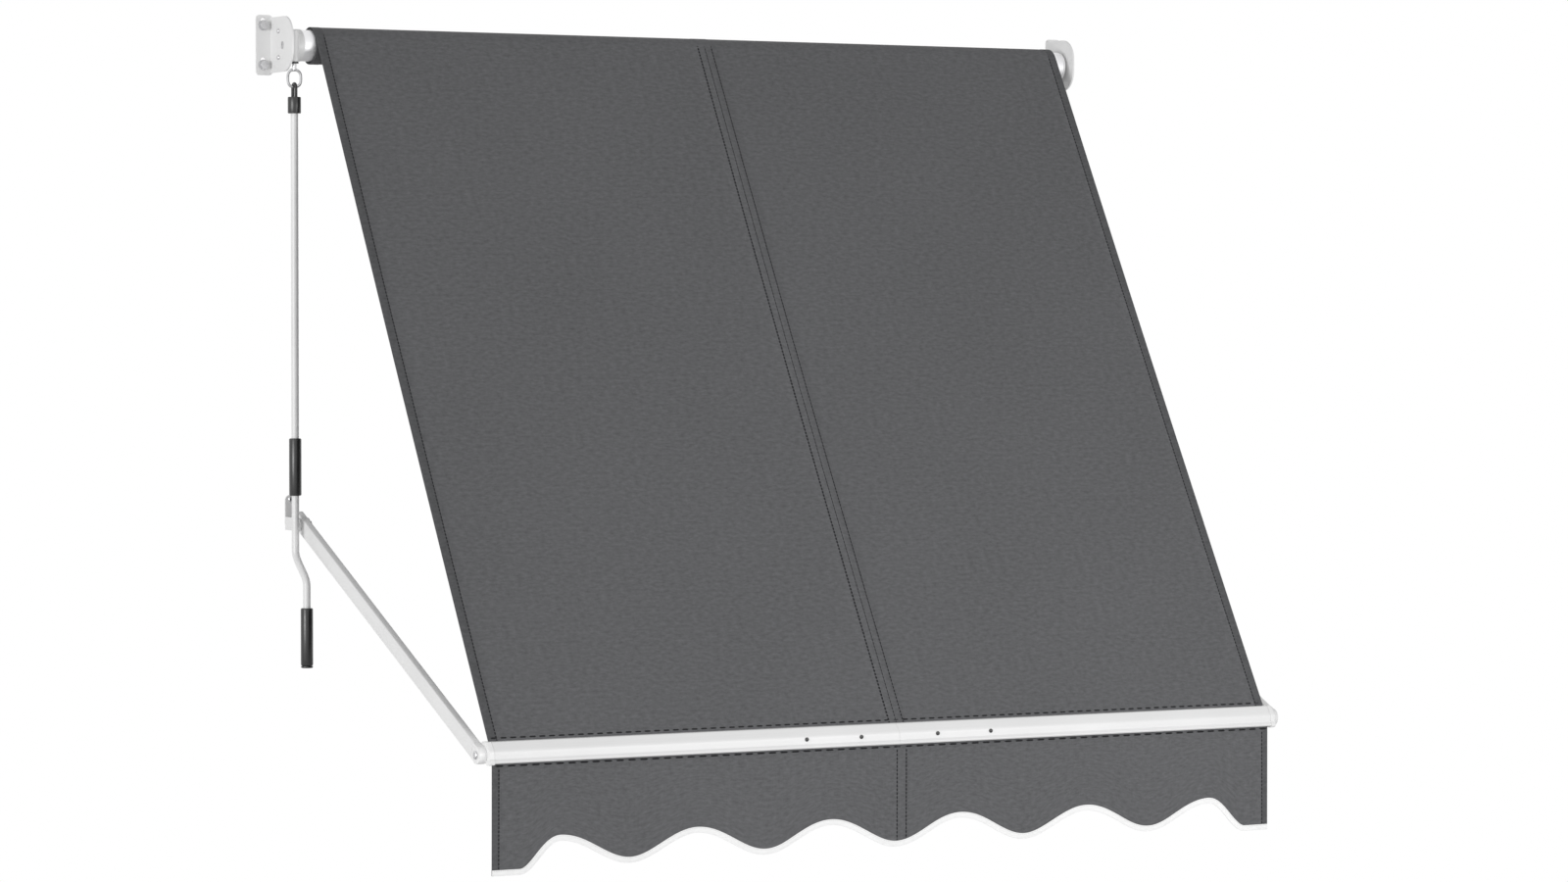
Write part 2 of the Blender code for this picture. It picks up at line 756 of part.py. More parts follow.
def scallop_edge(steps_per_scallop=11):
    """Points (x, z) of the valance's lower edge from left to right, in the bar's frame."""
    low = -(BAR_BOTTOM + VALANCE_DROP + END_TAB_EXTRA + SCALLOP_DEPTH)
    count = steps_per_scallop * SCALLOP_COUNT
    return [
        (x, low + scallop_height(x))
        for x in (-HALF_CANOPY + CANOPY_WIDTH * i / count for i in range(count + 1))
    ]


def make_valance(cloth, white, parent):
    """The hanging cloth under the bar and the tape folded round its scalloped edge."""
    y = -VALANCE_GROOVE[0]
    top = VALANCE_GROOVE[1] - VALANCE_GROOVE_RADIUS - GAP / 2
    edge = scallop_edge()
    lifted = [(x, z + BINDING_CLOTH + GAP) for x, z in edge]
    outline = [(HALF_CANOPY, top), (-HALF_CANOPY, top)] + lifted
    prism("valance", [outline], "Y", y - CLOTH / 2, y + CLOTH / 2, cloth, parent)
    inner = CLOTH / 2 + GAP
    outer = inner + BINDING_CLOTH
    rise = BINDING_CLOTH
    section = [
        (-outer, 0),
        (outer, 0),
        (outer, BINDING_WIDTH),
        (inner, BINDING_WIDTH),
        (inner, rise),
        (-inner, rise),
        (-inner, BINDING_WIDTH),
        (-outer, BINDING_WIDTH),
    ]
    bm = bmesh.new()
    rings = []
    for x, z in edge:
        rings.append([bm.verts.new((x, y + a, z + b)) for a, b in section])
    for one, two in zip(rings, rings[1:]):
        for k in range(len(section)):
            m = (k + 1) % len(section)
            bm.faces.new((one[k], one[m], two[m], two[k]))
    for ring in (rings[0], rings[-1]):
        for quad in ((0, 1, 4, 5), (1, 2, 3, 4), (0, 5, 6, 7)):
            bm.faces.new([ring[i] for i in quad])
    finish_mesh("valance_binding", bm, white, parent)


def keder_groove(center, radius, mouth, direction, depth):
    """A round groove with a narrow mouth that opens towards direction, as points of an outline."""
    angle = math.degrees(math.atan2(direction[1], direction[0]))
    half = math.degrees(math.asin(mouth / radius))
    points = arc(center, radius, angle + half, angle + 360 - half, 12)
    side = (-direction[1] * mouth, direction[0] * mouth)
    reach = math.sqrt(radius ** 2 - mouth ** 2) + depth
    left = (center[0] + direction[0] * reach + side[0], center[1] + direction[1] * reach + side[1])
    right = (center[0] + direction[0] * reach - side[0], center[1] + direction[1] * reach - side[1])
    return [left] + points + [right]


def bar_front(edge):
    """The bar's round shoulder and leaning upper face, edge outside the bar's own, up to its flat top."""
    radius = BAR_SHOULDER + edge
    shoulder = (BAR_FRONT - BAR_SHOULDER, BAR_SHOULDER_HEIGHT)
    points = arc(shoulder, radius, 0, math.degrees(BAR_LEAN), 6)
    high = BAR_TOP + edge
    crest = points[-1][0] - (high - points[-1][1]) * math.tan(BAR_LEAN)
    return points + [(crest, high)]


def bar_outline(canopy_angle):
    """The front bar's section in (y, z) from the arm pins, open at its two keder grooves."""
    up_slope = (-math.cos(canopy_angle), math.sin(canopy_angle))
    top_mouth = keder_groove(CANOPY_GROOVE, KEDER_GROOVE, KEDER_MOUTH, up_slope, BAR_MOUTH_DEPTH)
    low_reach = math.sqrt(VALANCE_GROOVE_RADIUS ** 2 - KEDER_MOUTH ** 2)
    low_depth = BAR_BOTTOM + VALANCE_GROOVE[1] - low_reach
    low_mouth = keder_groove(VALANCE_GROOVE, VALANCE_GROOVE_RADIUS, KEDER_MOUTH, (0, -1), low_depth)
    forward = (
        [(-BAR_BACK, -BAR_BOTTOM)]
        + list(reversed(low_mouth))
        + [
            (BAR_LIP - BAR_LIP_CHAMFER, -BAR_BOTTOM),
            (BAR_LIP, -BAR_BOTTOM + BAR_LIP_ROUND),
            (BAR_LIP, -BAR_BOTTOM + BAR_LIP_EDGE),
            (BAR_FRONT, -BAR_BOTTOM + BAR_LIP_TOP),
        ]
        + bar_front(0)
        + [(top_mouth[-1][0] + BAR_MOUTH_LAND, BAR_TOP)]
        + list(reversed(top_mouth))
        + [(-BAR_BACK + BAR_BACK_CHAMFER, BAR_TOP), (-BAR_BACK, BAR_TOP - BAR_BACK_CHAMFER)]
    )
    return [(-a, b) for a, b in forward]


def main_chamber(inset=0.0):
    """The bar's main hollow, which the splice and the end caps' plugs fit with a clearance."""
    back = -BAR_BACK + BAR_WALL + inset
    front = BAR_FRONT - BAR_WALL - inset
    low = VALANCE_GROOVE[1] + VALANCE_GROOVE_RADIUS + BAR_WALL + inset
    step = CANOPY_GROOVE[1] - KEDER_GROOVE - BAR_WALL - inset
    high = step + CHAMBER_CHAMFER * 0.7
    knee = CANOPY_GROOVE[0] + KEDER_GROOVE + BAR_WALL + inset
    forward = [
        (back, low),
        (front, low),
        (front, high - CHAMBER_CHAMFER),
        (front - CHAMBER_CHAMFER, high),
        (knee, high),
        (knee, step),
        (back, step),
    ]
    return [(-a, b) for a, b in forward]


def lower_chamber():
    """The bar's smaller hollow behind the valance's groove."""
    back = -BAR_BACK + BAR_WALL
    front = VALANCE_GROOVE[0] - VALANCE_GROOVE_RADIUS - BAR_WALL
    low = -BAR_BOTTOM + BAR_WALL
    high = VALANCE_GROOVE[1] + VALANCE_GROOVE_RADIUS
    return [(-a, b) for a, b in ((back, low), (front, low), (front, high), (back, high))]


def cap_outline():
    """The end cap's section: it covers the bar's end and hangs a little below it."""
    edge = BAR_CAP_PROUD
    skirt = -BAR_BOTTOM - BAR_CAP_SKIRT
    forward = [
        (-BAR_BACK - edge, -BAR_BOTTOM - edge),
        (BAR_BACK, -BAR_BOTTOM - edge),
        (BAR_BACK + BAR_CAP_SKIRT, skirt),
        (BAR_LIP - BAR_LIP_TOP, skirt),
        (BAR_LIP - BAR_LIP_ROUND, skirt + BAR_CAP_SKIRT / 2),
        (BAR_LIP + edge, -BAR_BOTTOM + BAR_LIP_ROUND),
        (BAR_LIP + edge, -BAR_BOTTOM + BAR_LIP_EDGE + edge),
        (BAR_FRONT + edge, -BAR_BOTTOM + BAR_LIP_TOP + edge),
        *bar_front(edge),
        (-BAR_BACK + BAR_BACK_CHAMFER, BAR_TOP + edge),
        (-BAR_BACK - edge, BAR_TOP - BAR_BACK_CHAMFER),
    ]
    return [(-a, b) for a, b in forward]


def make_front_bar(canopy_angle, white, steel, dark, black, parent):
    """Two bar halves on an inner splice, their screws, the end caps and the keder rods."""
    joint = GAP / 2
    section = [bar_outline(canopy_angle), main_chamber(), lower_chamber()]
    halves = (
        prism("front_bar_left", section, "X", -BAR_HALF, -joint, white, parent),
        prism("front_bar_right", section, "X", joint, BAR_HALF, white, parent),
    )
    splice = prism("bar_splice", [main_chamber(GAP)], "X", -SPLICE_HALF, SPLICE_HALF, steel, parent)
    seat = -BAR_FRONT
    sizes = (SPLICE_SCREW_RADIUS, SPLICE_SCREW_HEAD_RADIUS, SPLICE_SCREW_HEAD, SPLICE_SCREW_LENGTH)
    number = 0
    for half, side in zip(halves, (-1, 1)):
        for distance in SPLICE_SCREWS:
            number += 1
            place = (side * distance, 0, SPLICE_SCREW_RADIUS)
            screw(f"splice_screw_{number}", "Y", place, seat, 1, sizes, dark, parent)
            hole = SPLICE_SCREW_RADIUS + GAP
            drill(half, "Y", place, hole, seat - PAST, seat + BAR_WALL + PAST, 12, parent)
            splice_end = seat + SPLICE_SCREW_LENGTH + PAST
            drill(splice, "Y", place, hole, seat - PAST, splice_end, 12, parent)
    for side, name in ((-1, "left"), (1, "right")):
        inner = side * (BAR_END - BAR_CAP)
        cap_span = sorted((inner, side * BAR_END))
        cap = prism(f"{name}_bar_cap", [cap_outline()], "X", *cap_span, white, parent)
        plug_span = sorted((inner - side * BAR_CAP_PLUG, inner + side * BAR_CAP * 0.2))
        combine(cap, prism("guide", [main_chamber(GAP)], "X", *plug_span, None, parent), "UNION")
        hole_end = side * (BAR_END - BAR_CAP_HOLE)
        span = sorted((hole_end, side * (BAR_END + PAST)))
        drill(cap, "X", (0, 0, 0), PIVOT_RADIUS + GAP, *span, 16, parent)
    for name, center, radius in (
        ("canopy_keder", CANOPY_GROOVE, KEDER_GROOVE),
        ("valance_keder", VALANCE_GROOVE, VALANCE_GROOVE_RADIUS - GAP),
    ):
        rod = radius - GAP
        ends = [(-BAR_HALF, 0), (-BAR_HALF, rod), (BAR_HALF, rod), (BAR_HALF, 0)]
        turned(name, ends, "X", (0, -center[0], center[1]), 16, black, parent)


def make_bar_pins(steel, parent):
    """Slotted pins through the arms' knuckles into the bar's end caps. They sit fast in the caps."""
    for side, name in ((-1, "left"), (1, "right")):
        head_in = side * (ARM_OUTER + GAP)
        head_out = head_in + side * PIVOT_HEAD
        tip = side * (BAR_END - BAR_CAP_HOLE + GAP)
        profile = [
            (head_out, 0),
            (head_out, PIVOT_HEAD_RADIUS * 0.8),
            ((head_out + head_in) / 2, PIVOT_HEAD_RADIUS),
            (head_in, PIVOT_HEAD_RADIUS),
            (head_in, PIVOT_RADIUS),
            (tip, PIVOT_RADIUS),
            (tip, 0),
        ]
        pin = turned(f"{name}_bar_pin", profile, "X", (0, 0, 0), 20, steel, parent)
        half = PIN_SLOT / 2
        reach = PIVOT_HEAD_RADIUS + PAST
        slot = [(-half, -reach), (half, -reach), (half, reach), (-half, reach)]
        span = sorted((head_out - side * PIN_SLOT_DEPTH, head_out + side * PAST))
        combine(pin, prism("guide", [slot], "X", *span, None, parent), "DIFFERENCE")


def make_arm(side, white):
    """An arm: a rectangular tube with a round knuckle pushed into its front end."""
    name = "left" if side < 0 else "right"
    axis = empty(f"{name}_arm_axis", (side * ARM_X, ARM_AXIS_Y, ARM_AXIS_Z), (ARM_DROOP, 0, 0))
    half_x = ARM_THICKNESS / 2
    half_z = ARM_HEIGHT / 2
    outer = rounded_box((-half_x, -half_z), (half_x, half_z), ARM_CORNER, 3)
    inner = rounded_box(
        (-half_x + ARM_WALL, -half_z + ARM_WALL),
        (half_x - ARM_WALL, half_z - ARM_WALL),
        ARM_INNER_CORNER,
        2,
    )
    arm = prism(f"{name}_arm", [outer, inner], "Y", -KNUCKLE_START, ARM_REAR, white, axis)
    drill(arm, "X", (0, 0, 0), PIVOT_RADIUS + GAP, -half_x - PAST, half_x + PAST, 20, axis)
    hole = circle((-ARM_LENGTH, 0), PIVOT_RADIUS + GAP, 20)
    neck = KNUCKLE_START + GAP
    meet = math.degrees(math.asin((half_z - KNUCKLE_STEP) / KNUCKLE_RADIUS))
    round_end = arc((-ARM_LENGTH, 0), KNUCKLE_RADIUS, meet, 360 - meet, 20)
    outline = [(-neck, half_z - KNUCKLE_STEP)] + round_end + [(-neck, -half_z + KNUCKLE_STEP)]
    knuckle = prism(f"{name}_knuckle", [outline, hole], "X", -half_x, half_x, white, axis)
    tongue = prism(
        "guide",
        [rounded_box(
            (-half_x + ARM_WALL + GAP, -half_z + ARM_WALL + GAP),
            (half_x - ARM_WALL - GAP, half_z - ARM_WALL - GAP),
            ARM_INNER_CORNER,
            2,
        )],
        "Y",
        -neck - TONGUE_ROOT,
        -neck + KNUCKLE_TONGUE,
        None,
        axis,
    )
    combine(knuckle, tongue, "UNION")


def make_arm_bracket(side, white, steel):
    """A base plate with two lugs, the bolt that the arm swings on, its nut and two wall screws."""
    name = "left" if side < 0 else "right"
    inner_lug = side * (ARM_INNER - GAP)
    outer_lug = side * (ARM_OUTER + GAP)
    base_z = ARM_AXIS_Z + BASE_RISE
    plate_in = inner_lug - side * (LUG + BASE_INSIDE)
    plate_out = outer_lug + side * LUG
    low_x, high_x = sorted((plate_in, plate_out))
    screw_x = side * ARM_X
    half_height = BASE_HEIGHT / 2
    corners = (low_x, base_z - half_height), (high_x, base_z + half_height)
    outline = rounded_box(*corners, BASE_CORNER, 5)
    holes = [
        circle((screw_x, base_z + sign * ARM_SCREW_SPACING / 2), WALL_SCREW_RADIUS + GAP, 12)
        for sign in (-1, 1)
    ]
    bracket = prism(f"{name}_arm_bracket", [outline] + holes, "Y", -SHEET, 0, white)
    low_z = ARM_AXIS_Z - LUG_HEIGHT / 2
    high_z = ARM_AXIS_Z + LUG_HEIGHT / 2
    lug_outline = (
        [(-SHEET / 2, high_z)]
        + arc((-LUG_REACH + LUG_HEIGHT / 2, ARM_AXIS_Z), LUG_HEIGHT / 2, 90, 270, 12)
        + [(-SHEET / 2, low_z)]
    )
    bolt_hole = circle((ARM_AXIS_Y, ARM_AXIS_Z), PIVOT_RADIUS + GAP, 20)
    for start, step in ((inner_lug, -side * LUG), (outer_lug, side * LUG)):
        lug = prism("guide", [lug_outline, bolt_hole], "X", *sorted((start, start + step)))
        combine(bracket, lug, "UNION")
    sizes = (WALL_SCREW_RADIUS, WALL_SCREW_HEAD_RADIUS, WALL_SCREW_HEAD, WALL_SCREW_LENGTH + SHEET)
    for sign, level in ((1, "upper"), (-1, "lower")):
        place = (screw_x, 0, base_z + sign * ARM_SCREW_SPACING / 2)
        screw(f"{name}_{level}_arm_screw", "Y", place, -SHEET, 1, sizes, steel)
    center = (0, ARM_AXIS_Y, ARM_AXIS_Z)
    head_seat = outer_lug + side * (LUG + GAP)
    nut_seat = inner_lug - side * (LUG + GAP)
    nut_end = nut_seat - side * PIVOT_NUT
    bolt_end = nut_end - side * PAST
    profile = [
        (head_seat + side * PIVOT_HEAD, 0),
        (head_seat + side * PIVOT_HEAD, PIVOT_HEAD_RADIUS * 0.8),
        (head_seat + side * PIVOT_HEAD / 2, PIVOT_HEAD_RADIUS),
        (head_seat, PIVOT_HEAD_RADIUS),
        (head_seat, PIVOT_RADIUS),
        (bolt_end, PIVOT_RADIUS),
        (bolt_end, 0),
    ]
    turned(f"{name}_pivot_bolt", profile, "X", center, 20, steel)
    nut = [
        circle((ARM_AXIS_Y, ARM_AXIS_Z), PIVOT_HEAD_RADIUS, 6),
        circle((ARM_AXIS_Y, ARM_AXIS_Z), PIVOT_RADIUS + GAP, 20),
    ]
    prism(f"{name}_pivot_nut", nut, "X", *sorted((nut_seat, nut_end)), steel)


def make_hook(dark, parent):
    """A U-shaped hook over the eye's lower wire, both legs down to a disc."""
    sag = HOOK_BEND - HOOK_WIRE - EYE_WIRE - GAP
    top = -sag
    path = [Vector((0, -HOOK_BEND, top - HOOK_LEG))]
    for i in range(13):
        angle = math.pi * (1 - i / 12)
        path.append(Vector((0, HOOK_BEND * math.cos(angle), top + HOOK_BEND * math.sin(angle))))
    path.append(Vector((0, HOOK_BEND, top - HOOK_LEG)))
    hook = swept("crank_hook", path, (1, 0, 0), HOOK_WIRE, 8, False, dark, parent)
    disc_top = top - HOOK_LEG + HOOK_DISC * 0.5
    disc = [
        (disc_top - HOOK_DISC, 0),
        (disc_top - HOOK_DISC, HOOK_DISC_RADIUS),
        (disc_top, HOOK_DISC_RADIUS),
        (disc_top, 0),
    ]
    combine(hook, turned("guide", disc, "Z", (0, 0, 0), 24, None, parent), "UNION")
    return disc_top - HOOK_DISC


def smooth_step(share):
    return share * share * (3 - 2 * share)


def make_crank(white, dark, black, parent, upper_spin, lower_spin):
    """The rod with its offset bend, the ferrule that holds the hook, two loose grips and the end cap."""
    drop = EYE_BOTTOM
    rod_top = make_hook(dark, parent) - GAP
    ferrule_top = rod_top + HOOK_DISC + FERRULE_LIP + GAP
    ferrule_low = ferrule_top - FERRULE_LENGTH
    wide = HOOK_DISC_RADIUS + GAP
    tight = ROD_RADIUS + GAP
    turned(
        "hook_ferrule",
        [
            (ferrule_top, wide),
            (ferrule_top, FERRULE_RADIUS - FERRULE_EDGE / 2),
            (ferrule_top - FERRULE_EDGE, FERRULE_RADIUS),
            (ferrule_low + FERRULE_EDGE, FERRULE_RADIUS),
            (ferrule_low, FERRULE_RADIUS - FERRULE_EDGE / 2),
            (ferrule_low, tight),
            (rod_top - FERRULE_STEP, tight),
            (rod_top - FERRULE_STEP, wide),
        ],
        "Z", (0, 0, 0), 20, black, parent,
    )
    bend_start = -ROD_STRAIGHT - drop
    bend_end = -ROD_BEND_END - drop
    path = [Vector((0, 0, rod_top)), Vector((0, 0, bend_start + ROD_BEND_LEAD))]
    steps = 10
    for i in range(steps + 1):
        share = i / steps
        z = bend_start + (bend_end - bend_start) * share
        path.append(Vector((0, -ROD_OFFSET * smooth_step(share), z)))
    path.append(Vector((0, -ROD_OFFSET, -ROD_END - drop)))
    swept("crank_rod", path, (1, 0, 0), ROD_RADIUS, 16, False, white, parent)
    grip_bore = ROD_RADIUS / math.cos(math.pi / 16) + RUNNING_GAP
    for name, top, y, holder in (
        ("upper_grip", -UPPER_GRIP_TOP, 0, upper_spin),
        ("lower_grip", -LOWER_GRIP_TOP, -ROD_OFFSET, lower_spin),
    ):
        half = GRIP_LENGTH / 2
        turned(
            name,
            [
                (-half, grip_bore),
                (-half, GRIP_RADIUS - GRIP_EDGE),
                (-half + GRIP_EDGE / 3, GRIP_RADIUS - GRIP_EDGE / 3),
                (-half + GRIP_EDGE, GRIP_RADIUS),
                (half - GRIP_EDGE, GRIP_RADIUS),
                (half - GRIP_EDGE / 3, GRIP_RADIUS - GRIP_EDGE / 3),
                (half, GRIP_RADIUS - GRIP_EDGE),
                (half, grip_bore),
            ],
            "Z", (0, 0, 0), 20, black, holder,
        )
    cap_top = -ROD_END - drop - GAP
    cap = [
        (cap_top, 0),
        (cap_top, END_CAP_RADIUS),
        (cap_top - END_CAP * 0.7, END_CAP_RADIUS),
        (cap_top - END_CAP, END_CAP_RADIUS * 0.9),
        (cap_top - END_CAP, 0),
    ]
    turned("crank_end_cap", cap, "Z", (0, -ROD_OFFSET, 0), 24, black, parent)


def make_awning():
    white = make_material("white_powder_coat", WHITE, 0.35, 0.0)
    cloth = make_material("slate_cloth", SLATE, 0.85, 0.0)
    tape = make_material("white_binding", BINDING_WHITE, 0.75, 0.0)
    steel = make_material("zinc_steel", STEEL, 0.35, 1.0)
    black = make_material("black_plastic", BLACK, 0.25, 0.0)
    dark = make_material("black_coat", DARK_COAT, 0.45, 0.0)

    roller_axis = empty("roller_axis", (0, -ROLLER_STANDOFF, 0))
    worm_axis = empty("worm_axis", (WORM_X, WORM_Y, 0))
    crank_axis = empty("crank_axis", CRANK_AXIS)
    bar_axis = empty("bar_axis", BAR_AXIS)
    half_grip = GRIP_LENGTH / 2
    upper_spin = empty(
        "upper_grip_axis",
        (0, 0, -UPPER_GRIP_TOP - half_grip - EYE_BOTTOM),
        parent=crank_axis,
    )
    lower_spin = empty(
        "lower_grip_axis",
        (0, -ROD_OFFSET, -LOWER_GRIP_TOP - half_grip - EYE_BOTTOM),
        parent=crank_axis,
    )

    make_roller_brackets(white, steel)
    make_gear_housing(white, steel, black)
    make_idler_pin(steel)
    make_roller(white, steel, cloth, roller_axis)
    make_worm_and_eye(steel, worm_axis)
    make_crank(white, dark, black, crank_axis, upper_spin, lower_spin)
    canopy_angle = make_canopy(cloth)
    make_valance(cloth, tape, bar_axis)
    make_front_bar(canopy_angle, white, steel, dark, black, bar_axis)
    make_bar_pins(steel, bar_axis)
    for side in (-1, 1):
        make_arm(side, white)
        make_arm_bracket(side, white, steel)


for leftover in list(bpy.data.objects):
    bpy.data.objects.remove(leftover)
make_awning()
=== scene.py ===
"""Looks for the drop-arm window awning: cloth, sewing, coated metal, zinc and plastic.

Row frame: origin on the wall plane, at mid-width, at the height of the roller's axis. Metres.
"""

import json
import math

import bmesh
import bpy
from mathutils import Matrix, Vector


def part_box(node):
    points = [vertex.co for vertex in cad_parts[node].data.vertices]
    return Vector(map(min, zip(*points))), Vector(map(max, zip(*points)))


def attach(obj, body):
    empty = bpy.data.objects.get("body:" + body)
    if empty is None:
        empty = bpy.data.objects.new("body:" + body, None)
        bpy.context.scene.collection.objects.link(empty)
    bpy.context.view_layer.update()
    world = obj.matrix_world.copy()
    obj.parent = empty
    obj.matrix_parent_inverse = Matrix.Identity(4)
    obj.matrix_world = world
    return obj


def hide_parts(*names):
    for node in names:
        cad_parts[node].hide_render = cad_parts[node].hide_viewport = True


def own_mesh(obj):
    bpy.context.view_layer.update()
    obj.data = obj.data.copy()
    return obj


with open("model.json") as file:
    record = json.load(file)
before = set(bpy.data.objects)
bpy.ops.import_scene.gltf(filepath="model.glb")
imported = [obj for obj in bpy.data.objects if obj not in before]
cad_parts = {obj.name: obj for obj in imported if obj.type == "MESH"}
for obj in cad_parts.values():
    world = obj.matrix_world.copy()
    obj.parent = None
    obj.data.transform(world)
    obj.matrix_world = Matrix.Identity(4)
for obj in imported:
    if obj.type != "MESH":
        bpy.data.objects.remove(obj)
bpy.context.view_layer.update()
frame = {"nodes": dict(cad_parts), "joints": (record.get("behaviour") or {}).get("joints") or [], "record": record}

# Cloth
CLOTH_HALF = 0.0005
HEM_RISE = 0.0003
HEM_STEP = 0.0005
CANOPY_HEM = 0.015
CANOPY_SEAM = 0.027
SEAM_OFFSET = 0.0065
CANOPY_SAG = 0.004
SAG_EDGE_SHARE = 0.35
CANOPY_RIPPLE = 0.0006
RIPPLE_TURN = 17.0
RIPPLE_DRIFT = 0.6
RIPPLE_DRIFT_TURN = 4.0
WRAP_ANGLE = math.radians(335)
WRAP_SHRINK = 0.0002
VALANCE_HEM = 0.012
VALANCE_SEAM = 0.0175
VALANCE_SEAM_OFFSET = 0.009
VALANCE_RISE_SHARE = 0.8
VALANCE_WAVE = 0.0016
WAVE_GROWTH = 1.4
WAVE_DRIFT = 0.7
WAVE_DRIFT_TURN = 5.1
FINE_WAVE_SHARE = 0.35
FINE_WAVE_LENGTH = 0.087
FINE_WAVE_START = 1.3
SCALLOP_DEPTH = 0.0195
SCALLOP_PITCH = 0.231
SCALLOP_COUNT = 6
END_TAB_WIDTH = 0.0455
END_TAB_EXTRA = 0.0085
BINDING_WIDTH = 0.009
BINDING_CLOTH = 0.0006
BINDING_SEWING_INSET = 0.0016
FOLD_RISE = 0.0010
FOLD_SHARE = 0.75
TAPE_ROUND = 0.0002
KEDER_RADIUS = 0.0032
GAP = 0.0003
ROLL_TURNS = 3
TURN_FILL = 0.42

# Spacing of the mesh points
CANOPY_STEP = 0.016
WRAP_STEP = 0.005
ROLL_COLUMN_STEP = 0.12
ROLL_TURN_STEP = math.radians(6)
VALANCE_STEP = 0.007
VALANCE_ROW_SHARE = 0.05
BINDING_STEP = 0.0035
EDGE_SLOPE_STEP = 0.0008
AREA_STEP = 0.002

# Sewing
STITCH_SIDES = 6
STITCH_BODY = 0.62
STITCH_LIFT = 0.2
STITCH_PITCH = 0.0060
STITCH_FILL = 0.84
SEAM_INSET = 0.001
THREAD_WIDTH = 0.0007
HEM_THREAD_WIDTH = 0.0010
LAP_WIDTH = 0.0014
THREAD_HEIGHT = 0.0003
DASH_PITCH = 0.016
VALANCE_DASH_PITCH = 0.020
DASH_FILL = 0.72
DASH_WIDTH = 0.0013
CANOPY_DASH_RISE = 0.0125
VALANCE_DASH_DROP = 0.0045
TAPE_STITCH = 0.0036
TAPE_THREAD_WIDTH = 0.0004
SEW_STEP = 0.02
SEW_END = 0.002
VALANCE_SEW_SHARES = (0.06, 0.98, 0.1)
VALANCE_DASH_STEP = 0.01
TAPE_SEW_STEP = 0.004

# Rounded edges of the frame's parts
WELD_DISTANCE = 0.00001
FLAT_ANGLE = math.radians(0.5)
EDGE_ROUND = 0.0003
EDGE_ANGLE = math.radians(35)

# Camera and stage
LENS = 112.25
CAMERA_PLACE = (-3.78, -7.247, -0.425)
CAMERA_PITCH = -1.5
CAMERA_YAW = -28.767
FLOOR_PLACE = (0, -0.4, -2.4)
FLOOR_RADIUS = 4.5
SURROUND_LIGHT = 0.40
SURROUND_SEEN = 1.0

# Lamps: place, target, size across and power in watts
LAMPS = {
    "key": ((0.9, -3.2, -0.6), (0, -0.5, -0.8), 1.8, 31),
    "left_fill": ((-7.6, -3.6, 0.2), (-0.7, -0.2, -0.4), 3.8, 285),
}


def middle_of(node):
    low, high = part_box(node)
    return (low + high) / 2


# Places taken from the frame
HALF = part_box("canopy")[1].x
ROLL_AXIS = middle_of("roller_tube")
ROLL_RADIUS = (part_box("canopy_roll")[1].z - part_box("canopy_roll")[0].z) / 2
TUBE_RADIUS = (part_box("roller_tube")[1].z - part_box("roller_tube")[0].z) / 2
GROOVE = middle_of("canopy_keder")
BAR_PIN = middle_of("left_bar_pin")
BAR_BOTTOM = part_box("front_bar_left")[0].z
VALANCE_Y = middle_of("valance").y
VALANCE_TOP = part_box("valance")[1].z
VALANCE_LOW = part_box("valance_binding")[0].z
ARM_SWING = next(j for j in frame["joints"] if j["name"] == "arm_swing")


def canopy_geometry():
    """Where the canopy leaves the roll, its direction, its normal and its length to the groove."""
    reach = ROLL_RADIUS + GAP + CLOTH_HALF + HEM_RISE
    forward = ROLL_AXIS.y - GROOVE.y
    drop = ROLL_AXIS.z - GROOVE.z
    distance = math.hypot(forward, drop)
    angle = math.atan2(drop, forward) + math.asin(reach / distance)
    along = Vector((0, -math.cos(angle), -math.sin(angle)))
    normal = Vector((0, -math.sin(angle), math.cos(angle)))
    start = Vector((0, ROLL_AXIS.y, ROLL_AXIS.z)) + reach * normal
    return start, along, normal, math.sqrt(distance ** 2 - reach ** 2), reach


TOP_EDGE, DOWN_SLOPE, CANOPY_NORMAL, SLOPE_LENGTH, WRAP_RADIUS = canopy_geometry()
CANOPY_END = SLOPE_LENGTH - KEDER_RADIUS
WRAP_LENGTH = WRAP_ANGLE * WRAP_RADIUS


def socket(node, name, value):
    node.inputs[name].default_value = value


